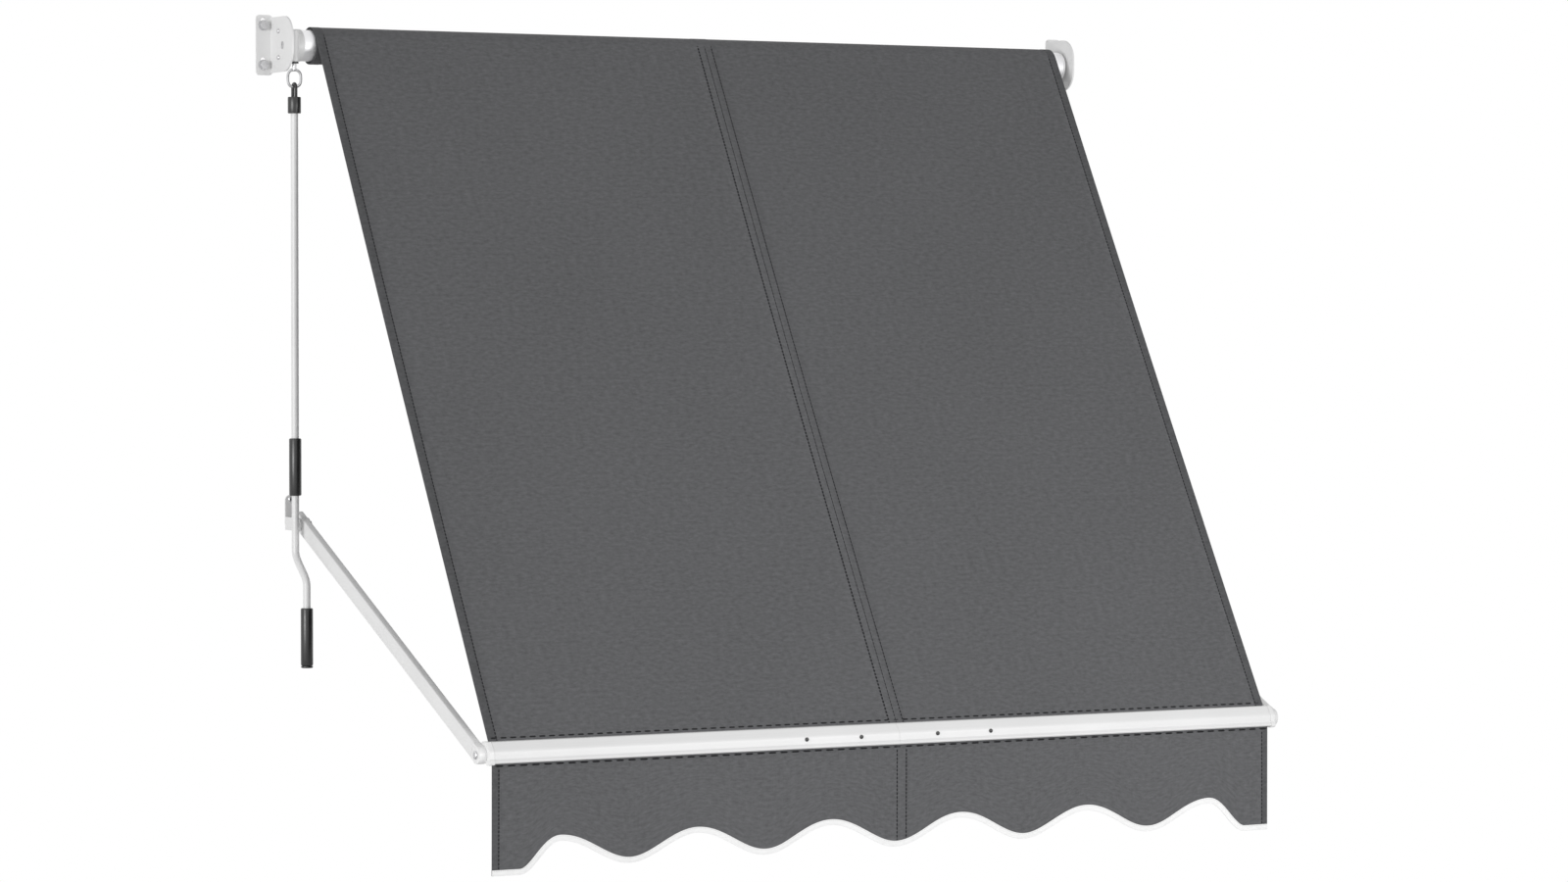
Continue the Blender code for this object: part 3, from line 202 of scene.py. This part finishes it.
class Finish:
    """A material: one Principled BSDF and the textures that feed it."""

    def __init__(self, name, color, roughness, metallic=0.0, **constants):
        self.material = bpy.data.materials.new(name)
        self.material.use_nodes = True
        self.tree = self.material.node_tree
        self.shader = self.tree.nodes["Principled BSDF"]
        self.color = color
        self.roughness = roughness
        socket(self.shader, "Base Color", (*color, 1))
        socket(self.shader, "Roughness", roughness)
        socket(self.shader, "Metallic", metallic)
        for key, value in constants.items():
            socket(self.shader, key.replace("_", " "), value)
        self.material.diffuse_color = (*color, 1)

    def node(self, kind, values=(), **settings):
        made = self.tree.nodes.new("ShaderNode" + kind)
        for key, value in settings.items():
            setattr(made, key, value)
        for key, value in dict(values).items():
            if isinstance(value, bpy.types.NodeSocket):
                self.tree.links.new(value, made.inputs[key])
            else:
                made.inputs[key].default_value = value
        return made

    def math(self, operation, a, b=0.0):
        return self.node("Math", {0: a, 1: b}, operation=operation).outputs[0]

    def scaled(self, place, scale):
        return self.node("Mapping", {"Vector": place, "Scale": scale}).outputs[0]

    def noise(self, place, scale, detail=3.0, rough=0.5):
        values = {"Vector": place, "Scale": scale, "Detail": detail, "Roughness": rough}
        return self.node("TexNoise", values).outputs["Fac"]

    def spread(self, value, low, high, start=0.3, end=0.7):
        values = {"Value": value, "From Min": start, "From Max": end, "To Min": low, "To Max": high}
        return self.node("MapRange", values).outputs[0]

    def tint(self, share, dark, light):
        """Colours the surface between two shades of its own colour."""
        mixed = self.node("Mix", {"Factor": share}, data_type="RGBA")
        mixed.inputs[6].default_value = (*(c * dark for c in self.color), 1)
        mixed.inputs[7].default_value = (*(min(1, c * light) for c in self.color), 1)
        self.tree.links.new(mixed.outputs[2], self.shader.inputs["Base Color"])

    def rough(self, share, low, high):
        self.tree.links.new(self.spread(share, low, high), self.shader.inputs["Roughness"])

    def bump(self, height, strength, distance):
        values = {"Height": height, "Strength": strength, "Distance": distance}
        made = self.node("Bump", values)
        self.tree.links.new(made.outputs[0], self.shader.inputs["Normal"])

    def place(self):
        return self.node("TexCoord").outputs["Object"]

    def flat_place(self):
        return self.node("UVMap", uv_map="flat").outputs[0]


def coated(name, color, peel=900.0, roughness=0.36):
    """Powder coat: a fine orange peel, slightly uneven gloss and hardly any colour change."""
    finish = Finish(name, color, roughness, Coat_Weight=0.12, Coat_Roughness=0.2)
    place = finish.place()
    broad = finish.noise(place, 6.0)
    finish.tint(finish.spread(broad, 0, 1), 0.965, 1.01)
    finish.rough(finish.noise(place, 45.0), roughness - 0.05, roughness + 0.07)
    finish.bump(finish.noise(place, peel, 2.0), 0.10, 0.0003)
    return finish.material


def extruded(name, color, metallic, roughness, streaks, bump):
    """Extruded aluminium: die lines along the X axis."""
    finish = Finish(name, color, roughness, metallic)
    place = finish.place()
    lines = finish.noise(finish.scaled(place, (1.5, streaks, streaks)), 1.0, 4.0, 0.6)
    blotches = finish.noise(place, 9.0)
    both = finish.math("MULTIPLY", finish.math("ADD", lines, blotches), 0.5)
    finish.tint(finish.spread(both, 0, 1), 0.95, 1.02)
    finish.rough(lines, roughness - 0.06, roughness + 0.08)
    finish.bump(lines, bump, 0.0002)
    return finish.material


def zinc(name, color):
    """Zinc plating: a mottled spangle with fine handling marks."""
    finish = Finish(name, color, 0.26, 1.0)
    place = finish.place()
    cells = finish.node("TexVoronoi", {"Vector": place, "Scale": 420.0}).outputs["Distance"]
    mottle = finish.noise(place, 140.0, 5.0, 0.65)
    finish.tint(finish.spread(mottle, 0, 1), 0.82, 1.08)
    finish.rough(finish.math("ADD", finish.math("MULTIPLY", cells, 0.3), mottle), 0.18, 0.34)
    finish.bump(mottle, 0.12, 0.0002)
    return finish.material


def moulded(name, color, roughness, grain, gloss, shine=0.5):
    """Moulded plastic: a fine grain under its skin and slight flow marks."""
    finish = Finish(
        name, color, roughness, Coat_Weight=gloss, Coat_Roughness=0.08, Specular_IOR_Level=shine
    )
    place = finish.place()
    flow = finish.noise(finish.scaled(place, (30.0, 30.0, 8.0)), 1.0)
    finish.tint(finish.spread(flow, 0, 1), 0.93, 1.05)
    finish.rough(finish.noise(place, 60.0), roughness - 0.04, roughness + 0.08)
    finish.bump(finish.noise(place, grain, 2.0), 0.08, 0.0002)
    return finish.material


def woven(name, color, yarn, uneven, sheen):
    """Plain weave in the sheet's own flat coordinates: round yarns that pass over and under."""
    finish = Finish(
        name, color, 0.86, Sheen_Weight=sheen, Sheen_Roughness=0.45, Specular_IOR_Level=0.22
    )
    place = finish.flat_place()
    wander = finish.noise(place, 35.0, 2.0)
    apart = finish.node("SeparateXYZ", {0: place})
    ridges = []
    for axis in (0, 1):
        bent = finish.math("ADD", apart.outputs[axis], finish.math("MULTIPLY", wander, yarn * 0.5))
        turns = finish.math("MULTIPLY", bent, math.pi / yarn)
        ridges.append(finish.math("ABSOLUTE", finish.math("SINE", turns)))
    checks = finish.node("TexChecker", {"Vector": place, "Scale": 1.0 / yarn}).outputs["Fac"]
    over = finish.node("Mix", {"Factor": checks, 2: ridges[0], 3: ridges[1]}).outputs[0]
    fibre = finish.noise(place, 2400.0, 3.0, 0.7)
    slub = finish.noise(finish.scaled(place, (900.0, 25.0, 1.0)), 1.0, 2.0)
    height = finish.math("ADD", over, finish.math("MULTIPLY", fibre, 0.35))
    height = finish.math("ADD", height, finish.math("MULTIPLY", slub, 0.30))
    broad = finish.noise(place, 3.0, 4.0)
    mottle = finish.noise(finish.scaled(place, (90.0, 200.0, 1.0)), 1.0, 4.0, 0.7)
    # Colour: the yarn crests are painted lighter and the valleys between the yarns darker, painted shade of the
    # weave; slub, mottle and broad add random tone.
    shade = finish.math("MULTIPLY", over, 0.15)
    for part, share in ((slub, 0.10), (mottle, 0.65), (broad, 0.10)):
        shade = finish.math("ADD", shade, finish.math("MULTIPLY", part, share))
    finish.tint(finish.spread(shade, 0, 1, 0.25, 0.75), 1 - uneven, 1 + uneven)
    finish.rough(fibre, 0.80, 0.94)
    finish.bump(height, 0.45, yarn * 0.3)
    return finish.material


def twisted(name, color):
    """Sewing thread: matt, with a fine twist."""
    finish = Finish(name, color, 0.7, Specular_IOR_Level=0.1)
    place = finish.place()
    twist = finish.node(
        "TexWave", {"Vector": place, "Scale": 600.0, "Distortion": 2.0}, bands_direction="DIAGONAL"
    ).outputs["Fac"]
    # The twist's grooves are painted darker and its crests lighter: painted shade of the twist.
    finish.tint(twist, 0.8, 1.15)
    finish.rough(twist, 0.62, 0.8)
    finish.bump(twist, 0.3, 0.0001)
    return finish.material


def make_finishes():
    return {
        "steel": zinc("steel", (0.64, 0.64, 0.65)),
        "black_coat": coated("black_coat", (0.020, 0.020, 0.020)),
        "white_coat": coated("white_coat", (0.86, 0.86, 0.86)),
        "white_aluminium": extruded("white_aluminium", (0.85, 0.85, 0.85), 0.0, 0.34, 900.0, 0.05),
        "bare_aluminium": extruded("bare_aluminium", (0.84, 0.84, 0.85), 1.0, 0.52, 1500.0, 0.15),
        "white_plastic": moulded("white_plastic", (0.87, 0.87, 0.87), 0.36, 1400.0, 0.1),
        "black_plastic": moulded("black_plastic", (0.010, 0.010, 0.010), 0.32, 1400.0, 0.0, 0.75),
        "keder_plastic": moulded("keder_plastic", (0.05, 0.05, 0.05), 0.55, 900.0, 0.0),
        "slate_cloth": woven("slate_cloth", (0.120, 0.121, 0.126), 0.0006, 0.42, 0.10),
        # The hem finish is slate_cloth made darker: painted shade on the hems and on the cut ends of the cloth,
        # such as the roll's end.
        "slate_hem_painted_shade": woven("slate_hem_painted_shade", (0.092, 0.093, 0.097), 0.0006, 0.42, 0.10),
        "white_tape": woven("white_tape", (0.97, 0.97, 0.97), 0.0005, 0.03, 0.3),
        "thread": twisted("thread", (0.022, 0.022, 0.024)),
        "white_thread": twisted("white_thread", (0.80, 0.80, 0.80)),
    }


FINISHES = make_finishes()
# The second finish is the darker copy of the cloth, painted shade for hems and cut ends.
CLOTH_FINISHES = ("slate_cloth", "slate_hem_painted_shade")


def finished_object(name, bm, finishes, body, angle=40.0):
    """Links a mesh as one piece that moves with a body of the frame."""
    mesh = bpy.data.meshes.new(name)
    bm.to_mesh(mesh)
    bm.free()
    for finish in finishes:
        mesh.materials.append(FINISHES[finish])
    mesh.shade_smooth()
    mesh.set_sharp_from_angle(angle=math.radians(angle))
    item = bpy.data.objects.new(name, mesh)
    bpy.context.scene.collection.objects.link(item)
    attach(item, body)
    return item


def steps_between(start, end, step):
    """Evenly spaced numbers from start to end, at most step apart."""
    count = max(1, math.ceil(abs(end - start) / step))
    return [start + (end - start) * i / count for i in range(count + 1)]


def columns_for(half, hem, seam, offset, step):
    """Places across a sheet, with a line at each edge of its hems and of its centre seam."""
    edges = [-half, -half + hem, -half + hem + HEM_STEP]
    edges += [offset - seam / 2 - HEM_STEP, offset - seam / 2]
    edges += [offset + seam / 2, offset + seam / 2 + HEM_STEP]
    edges += [half - hem - HEM_STEP, half - hem, half]
    places = []
    for one, two in zip(edges, edges[1:]):
        places += steps_between(one, two, step)[:-1]
    return places + [edges[-1]]


def band_rise(x, half, hem, seam, offset):
    """How much thicker each face is at a place across the sheet, at its hems and its seam."""
    if abs(x) >= half - hem - 1e-6 or abs(x - offset) <= seam / 2 + 1e-6:
        return HEM_RISE
    return 0.0


def add_sheet(bm, columns, rows, surface, thickness, hem_from):
    """A closed sheet with two faces. surface gives a middle point and a normal at (column, row)."""
    uv = bm.loops.layers.uv.get("flat") or bm.loops.layers.uv.new("flat")
    faces = {1: [], -1: []}
    flat = {}
    for side in (1, -1):
        for row in rows:
            line = []
            for x in columns:
                point, normal = surface(x, row)
                vert = bm.verts.new(point + side * thickness(x) * normal)
                flat[vert] = (x, row)
                line.append(vert)
            faces[side].append(line)
    made = []
    for side in (1, -1):
        grid = faces[side]
        for low, high in zip(grid, grid[1:]):
            for i in range(len(columns) - 1):
                quad = [low[i], low[i + 1], high[i + 1], high[i]]
                face = bm.faces.new(quad)
                # Faces over the hems take the second finish, the painted shade copy of the cloth.
                if abs(columns[i] + columns[i + 1]) / 2 > hem_from:
                    face.material_index = 1
                made.append(face)
    top, under = faces[1], faces[-1]
    for i in range(len(columns) - 1):
        for j in (0, -1):
            made.append(bm.faces.new((top[j][i], top[j][i + 1], under[j][i + 1], under[j][i])))
    for j in range(len(rows) - 1):
        for i in (0, -1):
            face = bm.faces.new((top[j][i], top[j + 1][i], under[j + 1][i], under[j][i]))
            # The cut ends of the sheet, such as the ends of the roll, also take the painted shade copy.
            face.material_index = 1
            made.append(face)
    bmesh.ops.recalc_face_normals(bm, faces=bm.faces)
    for face in made:
        for loop in face.loops:
            loop[uv].uv = flat[loop.vert]


def add_stitch(bm, center, along, normal, length, width):
    """One visible stitch: a flat little lozenge of thread, half sunk in the cloth."""
    across = along.cross(normal).normalized()
    tips = [bm.verts.new(center + along * length / 2 * end) for end in (-1, 1)]
    rings = []
    for share in (-STITCH_BODY, STITCH_BODY):
        ring = []
        for k in range(STITCH_SIDES):
            a = 2 * math.pi * k / STITCH_SIDES
            offset = across * math.cos(a) * width + normal * math.sin(a) * THREAD_HEIGHT
            ring.append(bm.verts.new(center + along * length / 2 * share + offset))
        rings.append(ring)
    for k in range(STITCH_SIDES):
        m = (k + 1) % STITCH_SIDES
        bm.faces.new((tips[0], rings[0][m], rings[0][k]))
        bm.faces.new((rings[0][k], rings[0][m], rings[1][m], rings[1][k]))
        bm.faces.new((tips[1], rings[1][k], rings[1][m]))


def add_stitch_row(bm, path, surface, thickness, pitch, fill, width=THREAD_WIDTH):
    """Stitches on both faces of a sheet along a path of (x, row) places."""
    points = [surface(*place) for place in path]
    spare = pitch / 2
    for (one, place), (two, _) in zip(zip(points, path), zip(points[1:], path[1:])):
        step = two[0] - one[0]
        reach = step.length
        if reach < 1e-9:
            continue
        along = step / reach
        while spare < reach:
            share = spare / reach
            center = one[0].lerp(two[0], share)
            normal = one[1].lerp(two[1], share).normalized()
            for side in (1, -1):
                lift = side * (thickness(place[0]) + THREAD_HEIGHT * STITCH_LIFT)
                add_stitch(bm, center + lift * normal, along, side * normal, pitch * fill, width)
            spare += pitch
        spare -= reach


def canopy_surface(x, s):
    """The canopy's middle: round the roll before s = 0, then straight down to the bar."""
    if s <= 0:
        angle = -s / WRAP_RADIUS
        radius = WRAP_RADIUS - WRAP_SHRINK * angle / WRAP_ANGLE
        normal = math.cos(angle) * CANOPY_NORMAL - math.sin(angle) * DOWN_SLOPE
        center = Vector((x, ROLL_AXIS.y, ROLL_AXIS.z))
        return center + radius * normal, normal
    share = s / SLOPE_LENGTH
    hang = math.sin(math.pi * share)
    sag = CANOPY_SAG * hang * (1 - SAG_EDGE_SHARE * (x / HALF) ** 2)
    drift = RIPPLE_DRIFT * math.sin(s * RIPPLE_DRIFT_TURN)
    ripple = CANOPY_RIPPLE * hang * math.sin(x * RIPPLE_TURN + drift)
    point = TOP_EDGE + DOWN_SLOPE * s - CANOPY_NORMAL * (sag + ripple)
    point.x = x
    return point, CANOPY_NORMAL


def canopy_thickness(x):
    return CLOTH_HALF + band_rise(x, HALF, CANOPY_HEM, CANOPY_SEAM, SEAM_OFFSET)


def follow_fold(item):
    """Gives the piece its own copy of its mesh; the bar groove's travel over the arms' swing is worked out but not
    applied.
    """
    swing = math.radians(ARM_SWING["range_deg"][1])
    pivot = Vector(ARM_SWING["pos_m"])
    arm = BAR_PIN - pivot
    swung = Vector((
        arm.x,
        arm.y * math.cos(swing) + arm.z * math.sin(swing),
        -arm.y * math.sin(swing) + arm.z * math.cos(swing),
    ))
    travel = arm - swung
    travel.x = 0
    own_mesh(item)


def sew_canopy(bm, run):
    """The seams that run down the canopy, at its centre lap and at its side hems."""
    edge = CANOPY_SEAM / 2 - SEAM_INSET
    lines = [
        (SEAM_OFFSET - edge, LAP_WIDTH),
        (SEAM_OFFSET, THREAD_WIDTH),
        (SEAM_OFFSET + edge, HEM_THREAD_WIDTH),
        (HALF - CANOPY_HEM + SEAM_INSET, HEM_THREAD_WIDTH),
        (-HALF + CANOPY_HEM - SEAM_INSET, HEM_THREAD_WIDTH),
    ]
    for x, width in lines:
        path = [(x, s) for s in run]
        add_stitch_row(bm, path, canopy_surface, canopy_thickness, STITCH_PITCH, STITCH_FILL, width)


def make_canopy():
    columns = columns_for(HALF, CANOPY_HEM, CANOPY_SEAM, SEAM_OFFSET, CANOPY_STEP)
    rows = steps_between(0, CANOPY_END, CANOPY_STEP)
    bm = bmesh.new()
    add_sheet(bm, columns, rows, canopy_surface, canopy_thickness, HALF - CANOPY_HEM)
    canopy = finished_object("canopy_cloth", bm, CLOTH_FINISHES, "frame")
    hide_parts("canopy")

    bm = bmesh.new()
    sew_canopy(bm, steps_between(SEW_END, CANOPY_END - 2 * SEW_END, SEW_STEP))
    row = SLOPE_LENGTH - CANOPY_DASH_RISE
    across = [(x, row) for x in steps_between(-HALF + SEW_END, HALF - SEW_END, SEW_STEP)]
    add_stitch_row(bm, across, canopy_surface, canopy_thickness, DASH_PITCH, DASH_FILL, DASH_WIDTH)
    sewing = finished_object("canopy_stitching", bm, ("thread",), "frame")
    follow_fold(canopy)
    follow_fold(sewing)


def make_roll():
    """The turns of cloth that stay on the tube: a spiral sheet, and the outer turn with its seams."""
    columns = columns_for(HALF, CANOPY_HEM, CANOPY_SEAM, SEAM_OFFSET, ROLL_COLUMN_STEP)
    pitch = (ROLL_RADIUS - TUBE_RADIUS - GAP) / ROLL_TURNS
    start = TUBE_RADIUS + GAP + pitch / 2
    total = 2 * math.pi * (ROLL_TURNS - 1)
    half = pitch * TURN_FILL

    def surface(x, turn):
        radius = start + pitch * turn / (2 * math.pi)
        normal = Vector((0, math.cos(turn), math.sin(turn)))
        return Vector((x, ROLL_AXIS.y, ROLL_AXIS.z)) + radius * normal, normal

    rows = steps_between(0, total, ROLL_TURN_STEP)
    bm = bmesh.new()
    add_sheet(bm, columns, rows, surface, lambda x: half, HALF - CANOPY_HEM)
    outer = steps_between(-WRAP_LENGTH, 0, WRAP_STEP)
    add_sheet(bm, columns, outer, canopy_surface, canopy_thickness, HALF - CANOPY_HEM)
    roll = finished_object("rolled_cloth", bm, CLOTH_FINISHES, "roller")
    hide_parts("canopy_roll")

    bm = bmesh.new()
    sew_canopy(bm, steps_between(-WRAP_LENGTH, 0, SEW_STEP))
    finished_object("roll_stitching", bm, ("thread",), "roller")


def scallop_height(x):
    """Height of the valance's lower edge over the bottom of its end tabs."""
    last_crest = SCALLOP_PITCH * (SCALLOP_COUNT - 1) / 2
    tab_start = HALF - END_TAB_WIDTH
    reach = abs(x)
    if reach >= tab_start:
        return 0.0
    if reach > last_crest:
        share = (reach - last_crest) / (tab_start - last_crest)
        return (END_TAB_EXTRA + 2 * SCALLOP_DEPTH) * 0.5 * (1 + math.cos(math.pi * share))
    return END_TAB_EXTRA + SCALLOP_DEPTH * (1 - math.cos(2 * math.pi * x / SCALLOP_PITCH))


def valance_wave(x, z):
    """How far the hanging cloth stands out of its plane: most at its lower edge."""
    depth = max(0.0, (BAR_BOTTOM - z) / (BAR_BOTTOM - VALANCE_LOW))
    drift = WAVE_DRIFT * math.sin(WAVE_DRIFT_TURN * x)
    broad = math.sin(2 * math.pi * x / SCALLOP_PITCH + drift)
    fine = FINE_WAVE_SHARE * math.sin(2 * math.pi * x / FINE_WAVE_LENGTH + FINE_WAVE_START)
    return VALANCE_WAVE * depth ** WAVE_GROWTH * (broad + fine)


def valance_point(x, z):
    return Vector((x, VALANCE_Y + valance_wave(x, z), z))


def valance_surface(x, share):
    """A place on the valance: share runs from 0 at the bar to 1 at the scalloped edge."""
    edge = VALANCE_LOW + scallop_height(x) + BINDING_CLOTH + GAP
    z = VALANCE_TOP + (edge - VALANCE_TOP) * share
    return valance_point(x, z), Vector((0, -1, 0))


def valance_thickness(x):
    rise = band_rise(x, HALF, VALANCE_HEM, VALANCE_SEAM, VALANCE_SEAM_OFFSET)
    return CLOTH_HALF + rise * VALANCE_RISE_SHARE


def edge_frame(x):
    """A point of the scalloped edge and the direction up into the cloth, square to the edge."""
    one = max(-HALF, x - EDGE_SLOPE_STEP)
    two = min(HALF, x + EDGE_SLOPE_STEP)
    slope = (scallop_height(two) - scallop_height(one)) / (two - one)
    up = Vector((-slope, 0, 1)).normalized()
    return Vector((x, 0, VALANCE_LOW + scallop_height(x))), up


def make_binding():
    """The tape folded round the scalloped edge, as wide on both faces."""
    inner = CLOTH_HALF + GAP
    outer = inner + BINDING_CLOTH
    one_side = [
        (inner, BINDING_WIDTH),
        (outer - TAPE_ROUND, BINDING_WIDTH),
        (outer, BINDING_WIDTH - 2 * TAPE_ROUND),
        (outer, FOLD_RISE),
        (outer * FOLD_SHARE, TAPE_ROUND),
    ]
    section = one_side + [(0, 0)] + [(-a, b) for a, b in reversed(one_side)]
    section += [(side * inner, BINDING_CLOTH + TAPE_ROUND) for side in (-1, 1)]
    bm = bmesh.new()
    uv = bm.loops.layers.uv.new("flat")
    flat = {}
    rings = []
    length = 0.0
    before = None
    for x in steps_between(-HALF, HALF, BINDING_STEP):
        point, up = edge_frame(x)
        length += (point - before).length if before else 0.0
        before = point
        ring = []
        around = 0.0
        last = section[0]
        for a, b in section:
            around += math.hypot(a - last[0], b - last[1])
            last = (a, b)
            place = point + up * b
            vert = bm.verts.new(valance_point(place.x, place.z) + Vector((0, a, 0)))
            flat[vert] = (length, around)
            ring.append(vert)
        rings.append(ring)
    count = len(section)
    for one, two in zip(rings, rings[1:]):
        for k in range(count):
            m = (k + 1) % count
            bm.faces.new((one[k], one[m], two[m], two[k]))
    bm.faces.new(rings[0])
    bm.faces.new(rings[-1])
    bmesh.ops.recalc_face_normals(bm, faces=bm.faces)
    for face in bm.faces:
        for loop in face.loops:
            loop[uv].uv = flat[loop.vert]
    binding = finished_object("edge_binding", bm, ("white_tape",), "front_bar")
    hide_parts("valance_binding")

    bm = bmesh.new()
    rise = BINDING_WIDTH - BINDING_SEWING_INSET
    path = []
    for x in steps_between(-HALF + SEW_END, HALF - SEW_END, TAPE_SEW_STEP):
        point, up = edge_frame(x)
        path.append((point + up * rise).xz)

    def tape_surface(x, z):
        return valance_point(x, z), Vector((0, -1, 0))

    add_stitch_row(
        bm, path, tape_surface, lambda x: outer, TAPE_STITCH, DASH_FILL, TAPE_THREAD_WIDTH
    )
    sewing = finished_object("binding_stitching", bm, ("white_thread",), "front_bar")
    return binding, sewing


def make_valance():
    columns = columns_for(HALF, VALANCE_HEM, VALANCE_SEAM, VALANCE_SEAM_OFFSET, VALANCE_STEP)
    rows = steps_between(0, 1, VALANCE_ROW_SHARE)
    bm = bmesh.new()
    add_sheet(bm, columns, rows, valance_surface, valance_thickness, HALF - VALANCE_HEM)
    depth = VALANCE_TOP - VALANCE_LOW
    valance = finished_object("valance_cloth", bm, CLOTH_FINISHES, "front_bar")
    for loop in valance.data.uv_layers["flat"].data:
        loop.uv = (loop.uv[0], loop.uv[1] * depth)
    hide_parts("valance")

    binding, binding_sewing = make_binding()

    bm = bmesh.new()
    lines = [side * (HALF - VALANCE_HEM + SEAM_INSET) for side in (-1, 1)]
    reach = (VALANCE_SEAM - SEAM_INSET) / 2
    lines += [VALANCE_SEAM_OFFSET - reach, VALANCE_SEAM_OFFSET + reach]
    for x in lines:
        path = [(x, share) for share in steps_between(*VALANCE_SEW_SHARES)]
        add_stitch_row(
            bm, path, valance_surface, valance_thickness, STITCH_PITCH, STITCH_FILL, HEM_THREAD_WIDTH
        )
    drop = (VALANCE_TOP - BAR_BOTTOM + VALANCE_DASH_DROP) / (VALANCE_TOP - VALANCE_LOW)
    path = []
    for x in steps_between(-HALF + SEW_END, HALF - SEW_END, VALANCE_DASH_STEP):
        edge = VALANCE_LOW + scallop_height(x)
        path.append((x, drop * (VALANCE_TOP - VALANCE_LOW) / (VALANCE_TOP - edge)))
    add_stitch_row(
        bm, path, valance_surface, valance_thickness, VALANCE_DASH_PITCH, DASH_FILL, DASH_WIDTH
    )
    sewing = finished_object("valance_stitching", bm, ("thread",), "front_bar")
    flat_valance_area()


def flat_valance_area():
    """The valance's cut area under its scalloped edge."""
    places = steps_between(-HALF, HALF, AREA_STEP)
    heights = [VALANCE_TOP - VALANCE_LOW - scallop_height(x) for x in places]
    step = places[1] - places[0]
    return step * (sum(heights) - (heights[0] + heights[-1]) / 2)


def dress_frame():
    """Each shown node of the frame gets its finish, smooth round faces and softly rounded edges."""
    for row in frame["record"]["subparts"]:
        node = frame["nodes"][row["node"]]
        node.data.materials.clear()
        node.data.materials.append(FINISHES[row["material_slot"]])
        node.data.shade_smooth()
        for layer in ("custom_normal", "sharp_edge"):
            if layer in node.data.attributes:
                node.data.attributes.remove(node.data.attributes[layer])
        weld = node.modifiers.new("weld", "WELD")
        weld.merge_threshold = WELD_DISTANCE
        flat = node.modifiers.new("flat", "DECIMATE")
        flat.decimate_type = "DISSOLVE"
        flat.angle_limit = FLAT_ANGLE
        bevel = node.modifiers.new("bevel", "BEVEL")
        bevel.width = EDGE_ROUND
        bevel.segments = 2
        bevel.limit_method = "ANGLE"
        bevel.angle_limit = EDGE_ANGLE
        bevel.harden_normals = True


def make_lamp(name, place, target, size, power):
    lamp = bpy.data.lights.new(name, "AREA")
    lamp.shape = "DISK"
    lamp.size = size
    lamp.energy = power
    holder = bpy.data.objects.new(name, lamp)
    holder.visible_camera = False
    bpy.context.scene.collection.objects.link(holder)
    holder.location = place
    aim = Vector(target) - Vector(place)
    holder.rotation_euler = aim.to_track_quat("-Z", "Y").to_euler()


def make_floor():
    """A pale floor under the awning."""
    bm = bmesh.new()
    bmesh.ops.create_circle(bm, cap_ends=True, segments=96, radius=FLOOR_RADIUS)
    mesh = bpy.data.meshes.new("floor")
    bm.to_mesh(mesh)
    bm.free()
    paint = Finish("floor_paint", (0.90, 0.90, 0.90), 0.8)
    paint.tint(paint.spread(paint.noise(paint.place(), 2.0), 0, 1), 0.985, 1.0)
    mesh.materials.append(paint.material)
    floor = bpy.data.objects.new("floor", mesh)
    bpy.context.scene.collection.objects.link(floor)
    floor.location = FLOOR_PLACE


def make_surround():
    """A surround that looks white and is reflected as white, but lights the part less."""
    world = bpy.data.worlds.new("surround")
    world.use_nodes = True
    bpy.context.scene.world = world
    tree = world.node_tree
    tree.nodes.clear()
    out = tree.nodes.new("ShaderNodeOutputWorld")
    light = tree.nodes.new("ShaderNodeBackground")
    light.inputs["Color"].default_value = (1, 1, 1, 1)
    light.inputs["Strength"].default_value = SURROUND_LIGHT
    seen = tree.nodes.new("ShaderNodeBackground")
    seen.inputs["Color"].default_value = (1, 1, 1, 1)
    seen.inputs["Strength"].default_value = SURROUND_SEEN
    path = tree.nodes.new("ShaderNodeLightPath")
    either = path.outputs["Is Camera Ray"]
    for ray in ("Is Glossy Ray", "Is Transmission Ray"):
        add = tree.nodes.new("ShaderNodeMath")
        add.operation = "MAXIMUM"
        tree.links.new(either, add.inputs[0])
        tree.links.new(path.outputs[ray], add.inputs[1])
        either = add.outputs[0]
    mix = tree.nodes.new("ShaderNodeMixShader")
    tree.links.new(either, mix.inputs[0])
    tree.links.new(light.outputs[0], mix.inputs[1])
    tree.links.new(seen.outputs[0], mix.inputs[2])
    tree.links.new(mix.outputs[0], out.inputs["Surface"])


def make_camera():
    data = bpy.data.cameras.new("camera")
    data.lens = LENS
    data.sensor_width = 36
    camera = bpy.data.objects.new("camera", data)
    bpy.context.scene.collection.objects.link(camera)
    camera.location = CAMERA_PLACE
    camera.rotation_euler = (math.radians(90 + CAMERA_PITCH), 0, math.radians(CAMERA_YAW))
    bpy.context.scene.camera = camera


dress_frame()
make_roll()
make_canopy()
make_valance()
make_floor()
make_surround()
for lamp_name, lamp_values in LAMPS.items():
    make_lamp(lamp_name, *lamp_values)
make_camera()
bpy.context.scene.view_settings.view_transform = "Standard"
